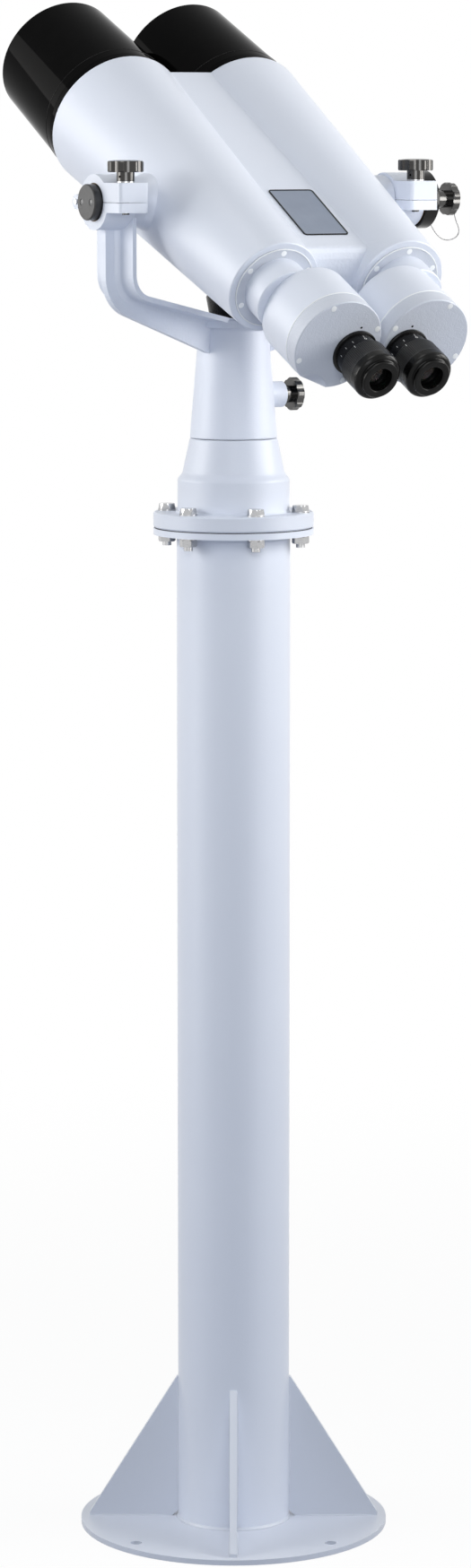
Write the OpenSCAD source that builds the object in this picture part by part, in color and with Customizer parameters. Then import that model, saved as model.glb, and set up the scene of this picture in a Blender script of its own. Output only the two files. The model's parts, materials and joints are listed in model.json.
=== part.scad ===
// Giant binoculars on a fixed pillar, for a lookout or a survey station.
// The twin tubes tilt on two trunnions in a cast fork, and the fork turns on
// a spindle at the top of the pillar. X runs along the trunnions, +Y is the
// way the tubes point, +Z is up, and the origin is the middle of the base.

/* [Pillar] */
// Diameter of the base plate
plate_d = 350; // [300:5:420]
// Thickness of the base plate
plate_t = 6; // [5:0.5:12]
// Circle of the four anchor holes
anchor_pcd = 310; // [280:2:330]
// Diameter of each anchor hole
anchor_d = 13; // [10:0.5:16]
// Turn of the pillar below the head
base_yaw = 31; // [0:1:45]
// Outside diameter of the pillar tube
pillar_od = 127; // [110:1:140]
// Wall of the pillar tube
pillar_wall = 5; // [3:0.5:8]
// Length of the pillar tube
pillar_h = 1132; // [700:1:1400]
// Thickness of each gusset
gusset_t = 8; // [5:0.5:12]
// Height of each gusset on the tube
gusset_h = 164; // [100:1:220]
// Radius that the gussets reach
gusset_reach = 165; // [130:1:172]
// Height of the blunt tip of a gusset
gusset_tip = 4; // [2:0.5:15]
// Weld relief at the inner foot of a gusset
gusset_notch = 7; // [3:0.5:14]

/* [Pillar top] */
// How far the bolted flanges reach past the tube
flange_reach = 26; // [24:0.5:36]
// Thickness of the flange on the tube
tube_flange_t = 7; // [5:0.5:12]
// Thickness of the gasket between the flanges
gasket_t = 1; // [0.5:0.1:2]
// Thickness of the flange on the casting
cast_flange_t = 17; // [12:0.5:22]
// Distance of the flange bolts from the tube's outside
bolt_off = 12.5; // [11.5:0.5:14]
// Number of flange bolts
flange_bolts_n = 6; // [4:1:8]
// Thread diameter of the flange bolts
bolt_d = 10; // [8:1:12]
// Angle of the first flange bolt from the pillar's right
bolt_turn = 49; // [0:1:60]
// Step from the tube's radius in to the casting's collar
collar_step = 1; // [0.5:0.1:3]
// Height of the straight collar
collar_h = 35; // [20:1:50]
// Height of the rounded shoulder above the collar
shoulder_h = 11; // [6:1:18]
// Inward step of the shoulder above the collar
shoulder_in = 6; // [4:0.5:8]
// Height of the cone above the shoulder
cone_h = 36; // [24:1:50]
// Diameter where the fixed and the turning castings meet
seam_d = 97.2; // [92:0.2:102]
// Running gap at the seam
seam_gap = 0.8; // [0.5:0.1:1.5]

/* [Azimuth axis] */
// Diameter of the spindle
spindle_d = 40; // [34:1:42]
// Diameter of the spindle's upper seat
spindle_top_d = 25; // [20:1:28]
// Outside diameter of the lower ball bearing
low_bearing_d = 68; // [64:1:70]
// Width of the lower ball bearing
low_bearing_w = 15; // [12:1:18]
// Outside diameter of the upper ball bearing
top_bearing_d = 47; // [42:1:50]
// Width of the upper ball bearing
top_bearing_w = 12; // [10:1:15]
// Radial clearance of running fits
run_fit = 0.05; // [0.02:0.01:0.1]
// Axial clearance beside turning faces
end_fit = 0.2; // [0.1:0.05:0.4]

/* [Fork] */
// Height of the fork hub above the seam
hub_h = 134; // [120:1:150]
// Diameter of the hub cone at its top
hub_top_d = 78; // [74:1:84]
// Diameter of the plate on top of the hub
hub_plate_d = 92; // [86:1:100]
// Thickness of the plate on top of the hub
hub_plate_t = 10; // [6:1:14]
// Height of the trunnion axis above the hub
trunnion_rise = 129; // [120:1:150]
// Distance of the trunnion axis behind the azimuth axis
trunnion_back = 46.4; // [30:0.2:60]
// Distance from the middle to the centre of each sleeve
sleeve_x = 185; // [180:1:200]
// Length of each trunnion sleeve
sleeve_l = 36; // [30:1:40]
// Outside diameter of each trunnion sleeve
sleeve_d = 60; // [56:1:66]
// Thickness of the arm's web
web_t = 7.4; // [6:0.2:10]
// Thickness of the arm's flange
arm_flange_t = 5.6; // [4:0.2:8]
// Width of the arm's flange
arm_flange_w = 56; // [46:1:58]
// Distance of the arm's outer edge from the azimuth axis
arm_out = 198.5; // [196:0.5:204]
// Distance of the arm's inner face from the azimuth axis
arm_in = 175.5; // [173:0.5:179]
// Slope of the arm's lower edge in degrees
arm_low_slope = 19.5; // [15:0.5:24]
// Slope of the arm's upper face in degrees
arm_top_slope = 12.25; // [9:0.25:15]
// Bend radius of the arm's outer edge
arm_out_r = 46; // [30:1:60]
// Bend radius of the arm's inner face
arm_in_r = 24; // [15:1:35]
// Fillet between the arm's web and its flange
arm_fillet = 7; // [3:0.5:9]
// Diameter of the black cap on the hub
hub_cap_d = 61; // [56:1:66]
// Height of the black cap on the hub
hub_cap_h = 25; // [16:1:28]

/* [Clamps and knobs] */
// Gap between the halves of each clamp
clamp_gap = 0.5; // [0.3:0.1:1.5]
// Reach of the clamp block in front of the trunnion axis
block_reach = 57; // [52:1:64]
// Height of the cap half of the clamp block
block_up = 21; // [16:1:26]
// Height of the fork half of the clamp block
block_down = 11; // [8:1:16]
// Distance of the clamp screw in front of the trunnion axis
screw_reach = 38; // [36:0.5:42]
// Distance of the clamp hinge behind the trunnion axis
hinge_reach = 39; // [37:0.5:44]
// Radius of the clamp hinge knuckles
knuckle_r = 8; // [7:0.5:9]
// Diameter of the clamp hinge pin
hinge_pin_d = 6.4; // [5:0.2:8]
// Diameter of each lobed knob
knob_d = 39; // [32:1:44]
// Height of a knob's head
knob_h = 13; // [9:0.5:16]
// Diameter of a knob's neck
knob_neck_d = 19.5; // [16:0.5:22]
// Length of a clamp knob's neck
knob_neck_l = 11; // [8:0.5:16]
// Diameter of the lock knobs on the azimuth and tilt axes
lock_knob_d = 37; // [30:1:40]
// Height of a lock knob's head
lock_knob_h = 10; // [7:0.5:12]
// Number of lobes on each knob
knob_lobes = 8; // [6:1:10]
// Diameter of a clamp screw
clamp_screw_d = 8; // [6:1:10]
// Diameter of a lock screw
lock_screw_d = 10; // [8:1:12]
// Height of the azimuth lock above the seam
az_lock_z = 47; // [36:1:60]
// Diameter of the azimuth lock's boss
az_boss_d = 29; // [24:1:34]
// Reach of the azimuth lock's boss from the axis
az_boss_x = 62; // [56:1:72]
// Neck length of the azimuth lock knob
az_neck_l = 11; // [8:0.5:14]
// Diameter of the brake disc on the right trunnion
brake_d = 65; // [58:1:70]
// Thickness of the brake disc
brake_t = 17.5; // [12:0.5:22]
// Thickness of the friction washer behind the brake disc
friction_t = 1.2; // [0.8:0.1:2]
// Neck length of the tilt lock knob
tilt_neck_l = 27.5; // [20:0.5:32]

/* [Binocular body] */
// Tilt of the tubes above the horizon
rest_tilt = 27.5; // [0:0.5:45]
// Distance between the two barrel axes
barrel_pitch = 158; // [158:0.5:166]
// Length of the body casting in front of the trunnions
body_front = 191.6; // [180:0.2:210]
// Length of the body casting behind the trunnions
body_back = 191; // [180:1:205]
// Diameter of each barrel at the front
barrel_front_d = 160; // [156:0.5:162]
// Rim of the barrel round the retaining ring
barrel_rim = 7; // [6:0.5:9]
// Wall of the barrels
barrel_wall = 4.5; // [3.5:0.1:6]
// Rounding of the barrels' front edge
barrel_round = 4; // [2:0.5:6]
// Height of the bridge's top face at the front
bridge_front_w = 60; // [54:0.5:66]
// Height of the bridge's top face at the back
bridge_back_w = 36.5; // [32:0.5:40]
// Diameter of the trunnion bosses
boss_d = 54; // [48:1:58]
// Diameter of the trunnion pins
trunnion_d = 39; // [34:0.5:40]
// Wall of the trunnion bushes
bush_wall = 1.2; // [0.8:0.1:2]
// Length that the left pin stands out of its sleeve
pin_proud = 9.5; // [4:0.5:14]
// Length of the nameplate
plate_l = 90; // [70:1:110]
// Width of the nameplate
plate_w = 56; // [44:1:58]

/* [Objectives] */
// Length of each hood
hood_l = 138.6; // [90:0.2:170]
// Diameter of each hood at its root
hood_root_d = 155; // [150:0.5:156]
// Diameter of each hood at its mouth
hood_mouth_d = 143.8; // [138:0.2:150]
// Wall of the hoods
hood_wall = 2.4; // [1.6:0.1:3.5]
// Length of the black ring at the root of each hood
cell_ring_l = 8.4; // [6:0.2:14]
// Diameter of each objective lens
lens_d = 122; // [116:1:124]

/* [Prism housings] */
// Diameter of each housing's neck
neck_d = 71; // [66:0.5:72]
// Length of each neck between body and housing
neck_l = 29; // [22:1:40]
// Diameter of each prism housing
housing_d = 103.6; // [98:0.2:104]
// Gap between the two housings
housing_gap = 5.44; // [4:0.1:8]
// Offset of the eyepiece from the barrel axis
eyepiece_offset = 51; // [48:0.5:53]
// Turn of the housings about the barrels
housing_turn = 22.5; // [10:0.5:35]
// Length of each housing from neck to seam
housing_l = 58; // [48:1:70]
// Length of each housing cap
cap_l = 19.5; // [14:0.5:24]
// Breadth of the retaining ring round each neck
retainer_w = 10.8; // [9:0.2:13]

/* [Eyepieces] */
// Diameter of the eyepiece's base flange
eye_flange_d = 52; // [48:0.5:54]
// Diameter of the fixed scale barrel
scale_d = 46.8; // [44:0.2:48]
// Diameter of the ribbed focusing ring
focus_d = 53.6; // [50:0.2:56]
// Length of the focusing ring
focus_l = 22; // [18:0.5:26]
// Number of ribs round the focusing ring
focus_ribs = 84; // [40:4:96]
// Diameter of the eyecup's rim
eyecup_rim_d = 42.6; // [38:0.2:44]
// Diameter of the eyecup's opening
eyecup_mouth_d = 26; // [22:0.5:30]

/* [Hidden] */
$fn = 96;

// Colours of the finished pieces
paint = [0.80, 0.83, 0.88];
gloss_black = [0.03, 0.03, 0.03];
satin_black = [0.08, 0.08, 0.09];
dark_chrome = [0.30, 0.30, 0.31];
steel = [0.62, 0.62, 0.64];
glass = [0.45, 0.60, 0.62, 0.5];

// Small overlap that makes a cut run clear of a face
cut = 1;

// Levels up the pillar
flange_d = pillar_od + 2 * flange_reach;
flange_pcd = pillar_od + 2 * bolt_off;
collar_d = pillar_od - 2 * collar_step;
shoulder_d = collar_d - 2 * shoulder_in;
washer_t = 1.6;
hex_af = 1.7 * bolt_d;
tube_z0 = plate_t;
tube_z1 = tube_z0 + pillar_h;
gasket_z = tube_z1 + tube_flange_t;
head_z = gasket_z + gasket_t;
collar_z = head_z + cast_flange_t;
shoulder_z = collar_z + collar_h;
cone_z = shoulder_z + shoulder_h;
seam_z = cone_z + cone_h;
hub_z = seam_z + seam_gap;
hub_top = seam_z + hub_h;
trunnion_z = hub_top + trunnion_rise;
trunnion_y = -trunnion_back;

// Spindle stack, from the seam up
collar_t = 6;
top_nut_t = 8;
spindle_recess = 8;
low_bearing_z = seam_z + collar_t;
low_shoulder_z = low_bearing_z + low_bearing_w + end_fit;
top_bearing_z = hub_top - spindle_recess - 2 - top_nut_t - top_bearing_w;
spindle_foot = 56;
spindle_gap = 1.5;

// The two arms are swept back to meet the trunnion sleeves
arm_sweep = atan2(trunnion_back, sleeve_x);
sleeve_in = sleeve_x - sleeve_l / 2;
sleeve_out = sleeve_x + sleeve_l / 2;
arm_low_z = hub_top - 53;
arm_top_z = hub_top - 6.5;
bush_r = trunnion_d / 2 + run_fit;
sleeve_bore_r = bush_r + bush_wall + run_fit;
knuckle_half = sleeve_l * 0.2;

// Brake pad of the azimuth lock, and the studs of the clamp screws
pad_r = 7;
pad_gap = 0.3;
pad_l = 16;
pad_end = spindle_d / 2 + pad_gap + pad_l;
clamp_washer_t = 1.2;
clamp_tip = 2.5;
washer_gap = 0.2;

// Tilt lock stack along the right trunnion
friction_x = sleeve_out + end_fit;
brake_x = friction_x + friction_t + end_fit;
brake_end = brake_x + brake_t;
tilt_knob_x = brake_end + end_fit;
boss_end = sleeve_in - 0.6;
spigot_r = 14;
spigot_l = 16;
lock_thread_l = 24;
swivel_x = tilt_knob_x + tilt_neck_l + lock_knob_h;

// Barrels
barrel_x = barrel_pitch / 2;
retainer_d = neck_d + 2 * retainer_w;
barrel_back_d = retainer_d + 2 * barrel_rim;
barrel_slope = (barrel_front_d - barrel_back_d) / 2 / (body_front + body_back);
ring_seat_l = 7;
neck_lip = 1.8;
neck_lip_l = 4.6;
end_wall = 5;
cell_bore_r = barrel_front_d / 2 - 7;
cell_bore_l = 19.6;
bore_v0 = -body_back + ring_seat_l + neck_lip_l + end_wall;
bore_v1 = body_front - cell_bore_l;
hood_v = body_front + cell_ring_l;
retaining_screw_r = retainer_d / 2 - 5.2;

// Prism housing and eyepiece stations behind the body
neck_v = -body_back;
housing_v = neck_v - neck_l;
cap_v = housing_v - housing_l;
face_v = cap_v - cap_l;
housing_offset = (barrel_x - housing_d / 2 - housing_gap / 2) / cos(housing_turn);
cavity_r = housing_d / 2 - 8;
cap_screw_r = housing_d / 2 - 4.8;
focus_v = face_v - 20.4;
cup_v = focus_v - focus_l;
scallop_r = housing_d / 2 - 12.8;
eye_bore_r = 20;
cell_r = 17.45;
web_edge = cell_r + 0.15;

// Lanyard route, hand laid: outward and up from the middle of the disc's face
lanyard_d = 1.2;
lanyard_knob = 39.5;
lanyard_route = [[lanyard_knob, -11], [39.8, -15.5], [41, -20.5], [43, -26], [45.6, -31.5], [46.4, -37],
  [43.4, -42], [37.6, -45], [31, -46], [24, -44.6], [17.6, -40.4], [12.4, -34.6], [8.4, -28.4],
  [5.4, -22.6],
  [2.4, -18.8], [-1.6, -17.6], [-5.6, -17.6]];
lanyard_n = len(lanyard_route);

// Radius of a barrel's outside at a station along it
function barrel_r(v) = barrel_back_d / 2 + barrel_slope * (v + body_back);

// Radius of the space inside a barrel at a station along it
function barrel_bore_r(v) =
  let (r0 = barrel_r(bore_v0) - barrel_wall, r1 = barrel_r(bore_v1) - barrel_wall - 2.5)
  r0 + (r1 - r0) * (v - bore_v0) / (bore_v1 - bore_v0);

// Points of an arc
function arc(c, r, a0, a1, n) =
  [for (i = [0:n]) [c[0] + r * cos(a0 + (a1 - a0) * i / n), c[1] + r * sin(a0 + (a1 - a0) * i / n)]];

// Points of a rectangle with round corners, centred on the origin
function round_rect(w, h, r) = concat(
  arc([w / 2 - r, h / 2 - r], r, 0, 90, 6),
  arc([-w / 2 + r, h / 2 - r], r, 90, 180, 6),
  arc([-w / 2 + r, -h / 2 + r], r, 180, 270, 6),
  arc([w / 2 - r, -h / 2 + r], r, 270, 360, 6));

// Centre height of a bend that joins an upright at s to a sloped line
function bend_z(s, z0, slope, r) = z0 + (s - r) * tan(slope) + r / cos(slope);

// Edge of the arm from the hub out, round the bend and up to the sleeve
function arm_edge(s, z0, slope, r, z_end) = concat(
  [[0, z0]],
  arc([s - r, bend_z(s, z0, slope, r)], r, slope - 90, 0, 10),
  [[s, z_end]]);

// Points of a list in the other order
function turned(list) = [for (i = [len(list) - 1:-1:0]) list[i]];

module base_frame() {
  rotate([0, 0, -base_yaw])
    children();
}

module tube_frame() {
  translate([0, trunnion_y, trunnion_z])
    rotate([rest_tilt, 0, 0])
      children();
}

// A shape turned about Z is laid along the barrels, with its height along +Y
module along_y() {
  rotate([-90, 0, 0])
    children();
}

module along_x() {
  rotate([0, 90, 0])
    children();
}

// Right-hand shape and its left-hand mirror image
module on_side(side) {
  if (side > 0)
    children();
  else
    mirror([1, 0, 0])
      children();
}

module barrel_frame(side) {
  tube_frame()
    translate([side * barrel_x, 0, 0])
      along_y()
        children();
}

// The housings hang from the barrel axes and turn inwards and down
module housing_frame(side) {
  tube_frame()
    on_side(side)
      translate([barrel_x, 0, 0])
        rotate([0, 180 - housing_turn, 0])
          children();
}

module eyepiece_frame(side) {
  housing_frame(side)
    translate([eyepiece_offset, 0, 0])
      along_y()
        children();
}

module ring(r_in, r_out, h) {
  rotate_extrude()
    translate([r_in, 0])
      square([r_out - r_in, h]);
}

module base_plate() {
  color(paint)
    base_frame()
      difference() {
        cylinder(d = plate_d, h = plate_t);
        for (a = [45:90:315])
          rotate([0, 0, a])
            translate([anchor_pcd / 2, 0, -cut])
              cylinder(d = anchor_d, h = plate_t + 2 * cut);
      }
}

module gussets() {
  tube_r = pillar_od / 2;
  color(paint)
    base_frame()
      difference() {
        for (a = [0:90:270])
          rotate([0, 0, a])
            translate([0, 0, plate_t])
              rotate([90, 0, 0])
                linear_extrude(gusset_t, center = true)
                  polygon([[tube_r - cut, gusset_notch], [tube_r - cut, gusset_h], [tube_r + 1.5, gusset_h],
                    [gusset_reach, gusset_tip], [gusset_reach, 0], [tube_r + gusset_notch, 0],
                    [tube_r, gusset_notch]]);
        cylinder(r = tube_r, h = plate_t + gusset_h + cut);
      }
}

module pillar_tube() {
  color(paint)
    translate([0, 0, tube_z0])
      ring(pillar_od / 2 - pillar_wall, pillar_od / 2, pillar_h);
}

// Six places round a flange, where the bolts go
module at_flange_bolts() {
  base_frame()
    for (i = [0:flange_bolts_n - 1])
      rotate([0, 0, bolt_turn + i * 360 / flange_bolts_n])
        translate([flange_pcd / 2, 0, 0])
          children();
}

module bolt_holes(z, h) {
  at_flange_bolts()
    translate([0, 0, z - cut])
      cylinder(d = bolt_d + 1, h = h + 2 * cut, $fn = 32);
}

module pillar_flange() {
  color(paint)
    difference() {
      translate([0, 0, tube_z1])
        ring(pillar_od / 2 - pillar_wall, flange_d / 2, tube_flange_t);
      bolt_holes(tube_z1, tube_flange_t);
    }
}

module flange_gasket() {
  color(satin_black)
    difference() {
      translate([0, 0, gasket_z])
        ring(pillar_od / 2 - pillar_wall, flange_d / 2 - 1.5, gasket_t);
      bolt_holes(gasket_z, gasket_t);
    }
}

// Bell-shaped casting: a bolted flange, a collar, a rounded shoulder and a cone
module pedestal_head() {
  edge = 1.5;
  inner_r = collar_d / 2 - 9;
  swell = (collar_d - shoulder_d) / 2;
  color(paint)
    difference() {
      rotate_extrude()
        polygon(concat(
          [[spindle_d / 2, seam_z], [spindle_d / 2, seam_z - spindle_foot],
            [inner_r - 14, seam_z - spindle_foot], [inner_r, shoulder_z - 12], [inner_r, head_z],
            [flange_d / 2 - edge, head_z],
            [flange_d / 2, head_z + edge], [flange_d / 2, collar_z - edge], [flange_d / 2 - edge, collar_z],
            [collar_d / 2 + 2, collar_z], [collar_d / 2, collar_z + 2]],
          [for (i = [0:10])
            [collar_d / 2 - swell * (1 - cos(18 * i)) / 2, shoulder_z + shoulder_h * i / 10]],
          [[seam_d / 2 + 0.4, seam_z - 1.2], [seam_d / 2 - 0.6, seam_z]]));
      bolt_holes(head_z, cast_flange_t);
    }
}

module hex_prism(af, h) {
  cylinder(d = af / cos(30), h = h, $fn = 6);
}

module flange_bolts() {
  head_z0 = collar_z + washer_t;
  head_h = 0.64 * bolt_d;
  bolt_l = head_z0 - tube_z1 + 1.4 * bolt_d;
  color(steel)
    at_flange_bolts()
      union() {
        translate([0, 0, head_z0])
          intersection() {
            hex_prism(hex_af, head_h);
            cylinder(r1 = 0.58 * hex_af, r2 = 0.51 * hex_af, h = head_h);
          }
        translate([0, 0, head_z0 - bolt_l])
          cylinder(d = bolt_d, h = bolt_l + 0.5, $fn = 32);
      }
}

module flange_washers() {
  color(steel)
    at_flange_bolts()
      for (z = [collar_z, tube_z1 - washer_t])
        translate([0, 0, z])
          ring(bolt_d / 2 + 0.2, bolt_d, washer_t);
}

module flange_nuts() {
  nut_h = 0.8 * bolt_d;
  corner = 0.51 * hex_af;
  color(steel)
    at_flange_bolts()
      translate([0, 0, tube_z1 - washer_t - nut_h])
        difference() {
          intersection() {
            hex_prism(hex_af, nut_h);
            cylinder(r1 = corner, r2 = corner + nut_h, h = nut_h);
            cylinder(r1 = corner + nut_h, r2 = corner, h = nut_h);
          }
          translate([0, 0, -cut])
            cylinder(d = bolt_d + 0.1, h = nut_h + 2 * cut, $fn = 32);
        }
}

module azimuth_spindle() {
  r = spindle_d / 2;
  rt = spindle_top_d / 2;
  color(steel)
    rotate_extrude()
      polygon([[0, seam_z - spindle_foot], [r, seam_z - spindle_foot], [r, seam_z], [r + 6, seam_z],
        [r + 6, low_bearing_z], [r, low_bearing_z], [r, top_bearing_z], [rt, top_bearing_z],
        [rt, hub_top - spindle_recess - 1.5],
        [rt - 1.5, hub_top - spindle_recess], [0, hub_top - spindle_recess]]);
}

// Ball bearing: two grooved races and a ring of balls
module ball_bearing(r_in, r_out, w, balls) {
  pitch_r = (r_in + r_out) / 2;
  ball_r = (r_out - r_in) * 0.28;
  land = ball_r * 0.6;
  groove_r = ball_r + 0.15;
  rotate_extrude()
    difference() {
      translate([r_in, 0])
        square([pitch_r - land - r_in, w]);
      translate([pitch_r, w / 2])
        circle(r = groove_r, $fn = 32);
    }
  rotate_extrude()
    difference() {
      translate([pitch_r + land, 0])
        square([r_out - pitch_r - land, w]);
      translate([pitch_r, w / 2])
        circle(r = groove_r, $fn = 32);
    }
  for (i = [0:balls - 1])
    rotate([0, 0, i * 360 / balls])
      translate([pitch_r, 0, w / 2])
        sphere(r = ball_r, $fn = 24);
}

module lower_bearing() {
  color(steel)
    translate([0, 0, low_bearing_z])
      ball_bearing(spindle_d / 2, low_bearing_d / 2, low_bearing_w, 12);
}

module upper_bearing() {
  color(steel)
    translate([0, 0, top_bearing_z])
      ball_bearing(spindle_top_d / 2, top_bearing_d / 2, top_bearing_w, 11);
}

module spindle_nut() {
  color(steel)
    translate([0, 0, top_bearing_z + top_bearing_w])
      difference() {
        cylinder(r = spindle_top_d / 2 + 6, h = top_nut_t);
        translate([0, 0, -cut])
          cylinder(r = spindle_top_d / 2, h = top_nut_t + 2 * cut);
        for (a = [0:90:270])
          rotate([0, 0, a])
            translate([spindle_top_d / 2 + 4, -2.5, -cut])
              cube([4, 5, top_nut_t + 2 * cut]);
      }
}

// Both fillets between web and flange, as a section with x running away from the flange
module fillet_section() {
  c = 1.1 * arm_fillet;
  r = sqrt(pow(c - arm_fillet, 2) + c * c);
  low = 180 + atan2(c - arm_fillet, c);
  high = 270 - atan2(c - arm_fillet, c);
  for (m = [0, 1])
    mirror([0, m, 0])
      translate([-0.4, web_t / 2 - 0.3])
        polygon(concat([[-1.5, arm_fillet], [-1.5, -1.5], [arm_fillet, -1.5]],
          arc([c, c], r, high, low, 6)));
}

// The fillets run from the hub along the arm, round its bend and up to the sleeve
module arm_fillets() {
  r = arm_in_r + arm_flange_t;
  bend_s = arm_in - arm_in_r;
  run_in = (bend_s + r * sin(arm_top_slope) - hub_top_d / 4) / cos(arm_top_slope);
  z = bend_z(arm_in, arm_top_z, arm_top_slope, arm_in_r);
  translate([bend_s, z, 0]) {
    rotate([0, 0, arm_top_slope - 90]) {
      rotate_extrude(angle = 90 - arm_top_slope)
        translate([r, 0])
          fillet_section();
      translate([r, -run_in, 0])
        rotate([-90, 0, 0])
          linear_extrude(run_in)
            fillet_section();
    }
    translate([r, 0, 0])
      rotate([-90, 0, 0])
        linear_extrude(trunnion_z - sleeve_d * 0.4 - z)
          fillet_section();
  }
}

// Right arm of the fork: a web with a broad flange along its inner face
module fork_arm() {
  top_end = trunnion_z - sleeve_d * 0.36;
  flange_end = trunnion_z - block_down;
  outer = arm_edge(arm_out, arm_low_z, arm_low_slope, arm_out_r, top_end);
  inner = arm_edge(arm_in, arm_top_z, arm_top_slope, arm_in_r, flange_end);
  under = arm_edge(arm_in + arm_flange_t, arm_top_z - arm_flange_t / cos(arm_top_slope),
    arm_top_slope, arm_in_r + arm_flange_t, flange_end);
  rotate([0, 0, -arm_sweep])
    rotate([90, 0, 0]) {
      linear_extrude(web_t, center = true)
        polygon(concat(outer,
          turned(arm_edge(arm_in + 1, arm_top_z - 1, arm_top_slope, arm_in_r + 1, top_end))));
      linear_extrude(arm_flange_w, center = true)
        polygon(concat(under, turned(inner)));
      arm_fillets();
    }
}

module sleeve_block(z0, h) {
  translate([sleeve_x, trunnion_y - block_reach / 2, z0])
    linear_extrude(h)
      polygon(round_rect(sleeve_l, block_reach, 4));
}

// Lower half of the right-hand sleeve with the screw block and hinge knuckles
module sleeve_lower() {
  seat = trunnion_z - clamp_gap / 2;
  difference() {
    union() {
      translate([sleeve_in, trunnion_y, trunnion_z])
        along_x()
          cylinder(d = sleeve_d, h = sleeve_l);
      sleeve_block(trunnion_z - block_down, block_down);
      translate([sleeve_in, trunnion_y + sleeve_d / 2 - 6, trunnion_z - knuckle_r])
        cube([sleeve_l, hinge_reach - sleeve_d / 2 + 6, knuckle_r]);
    }
    translate([sleeve_in - cut, trunnion_y - sleeve_d, seat])
      cube([sleeve_l + 2 * cut, 2 * sleeve_d, sleeve_d]);
    translate([sleeve_x - knuckle_half - end_fit, trunnion_y + hinge_reach - knuckle_r - 1,
      trunnion_z - sleeve_d])
      cube([2 * (knuckle_half + end_fit), sleeve_d, sleeve_d]);
  }
  for (x = [sleeve_in, sleeve_x + knuckle_half + end_fit])
    translate([x, trunnion_y + hinge_reach, trunnion_z])
      along_x()
        cylinder(r = knuckle_r, h = sleeve_l / 2 - knuckle_half - end_fit);
}

// Turned hub with a flared top plate under the arms
module hub_solid() {
  flare = 5;
  top_r = hub_top_d / 2;
  plate_r = hub_plate_d / 2;
  rotate_extrude()
    polygon(concat(
      [[0, hub_z], [seam_d / 2 - 0.6, hub_z], [seam_d / 2, hub_z + 1.2]],
      [[top_r, hub_top - hub_plate_t - flare]],
      [for (i = [1:5])
        [plate_r - (plate_r - top_r) * cos(18 * i), hub_top - hub_plate_t - flare + flare * sin(18 * i)]],
      [[plate_r, hub_top - 2], [plate_r - 2, hub_top], [0, hub_top]]));
}

module hub_bores() {
  seal_r = low_bearing_d / 2 + 4;
  r_top = top_bearing_d / 2 + run_fit;
  bore_r = spindle_d / 2 + spindle_gap;
  rotate_extrude()
    polygon([[0, hub_z - cut], [seal_r + 5.1, hub_z - cut], [seal_r + 5.1, hub_z + 3],
      [seal_r - 0.1, hub_z + 3],
      [seal_r - 0.1, hub_z - cut + 0.5], [low_bearing_d / 2 + run_fit, hub_z - cut + 0.5],
      [low_bearing_d / 2 + run_fit, low_shoulder_z], [bore_r, low_shoulder_z],
      [bore_r, top_bearing_z - end_fit],
      [r_top, top_bearing_z - end_fit], [r_top, hub_top + cut], [0, hub_top + cut]]);
}

// The fork is one casting: hub, two swept arms and the lower sleeve halves
module fork() {
  color(paint)
    difference() {
      union() {
        hub_solid();
        for (side = [-1, 1])
          on_side(side) {
            fork_arm();
            sleeve_lower();
          }
        translate([0, 0, seam_z + az_lock_z])
          along_x()
            cylinder(d = az_boss_d, h = az_boss_x);
      }
      hub_bores();
      for (side = [-1, 1])
        on_side(side) {
          translate([sleeve_in - 2 * sleeve_l, trunnion_y, trunnion_z])
            along_x()
              cylinder(r = sleeve_bore_r, h = 4 * sleeve_l);
          translate([sleeve_in - 2 * sleeve_l, trunnion_y, trunnion_z])
            along_x()
              cylinder(r = boss_d / 2 + 2, h = 2 * sleeve_l);
          translate([sleeve_in - cut, trunnion_y + hinge_reach, trunnion_z])
            along_x()
              cylinder(d = hinge_pin_d, h = sleeve_l + 2 * cut, $fn = 32);
          translate([sleeve_x, trunnion_y - screw_reach, trunnion_z - 2 * block_down])
            cylinder(r = clamp_screw_d / 2 + run_fit, h = 3 * block_down, $fn = 32);
        }
      translate([0, 0, seam_z + az_lock_z])
        along_x() {
          cylinder(r = lock_screw_d / 2 + run_fit, h = az_boss_x + cut);
          cylinder(r = pad_r + run_fit, h = pad_end + 4);
        }
    }
}

module hub_cap() {
  r = hub_cap_d / 2;
  color(satin_black)
    rotate_extrude()
      polygon(concat(
        [[0, hub_top - 5], [top_bearing_d / 2 - 0.4, hub_top - 5], [top_bearing_d / 2 - 0.4, hub_top],
          [r - 4, hub_top], [r, hub_top + hub_cap_h - 3]],
        arc([r - 3, hub_top + hub_cap_h - 3], 3, 0, 90, 6),
        [[0, hub_top + hub_cap_h]]));
}

module dust_seal() {
  seal_r = low_bearing_d / 2 + 4;
  color(satin_black)
    translate([0, 0, seam_z + end_fit])
      ring(seal_r, seal_r + 5, seam_gap - end_fit + 3);
}

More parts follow.
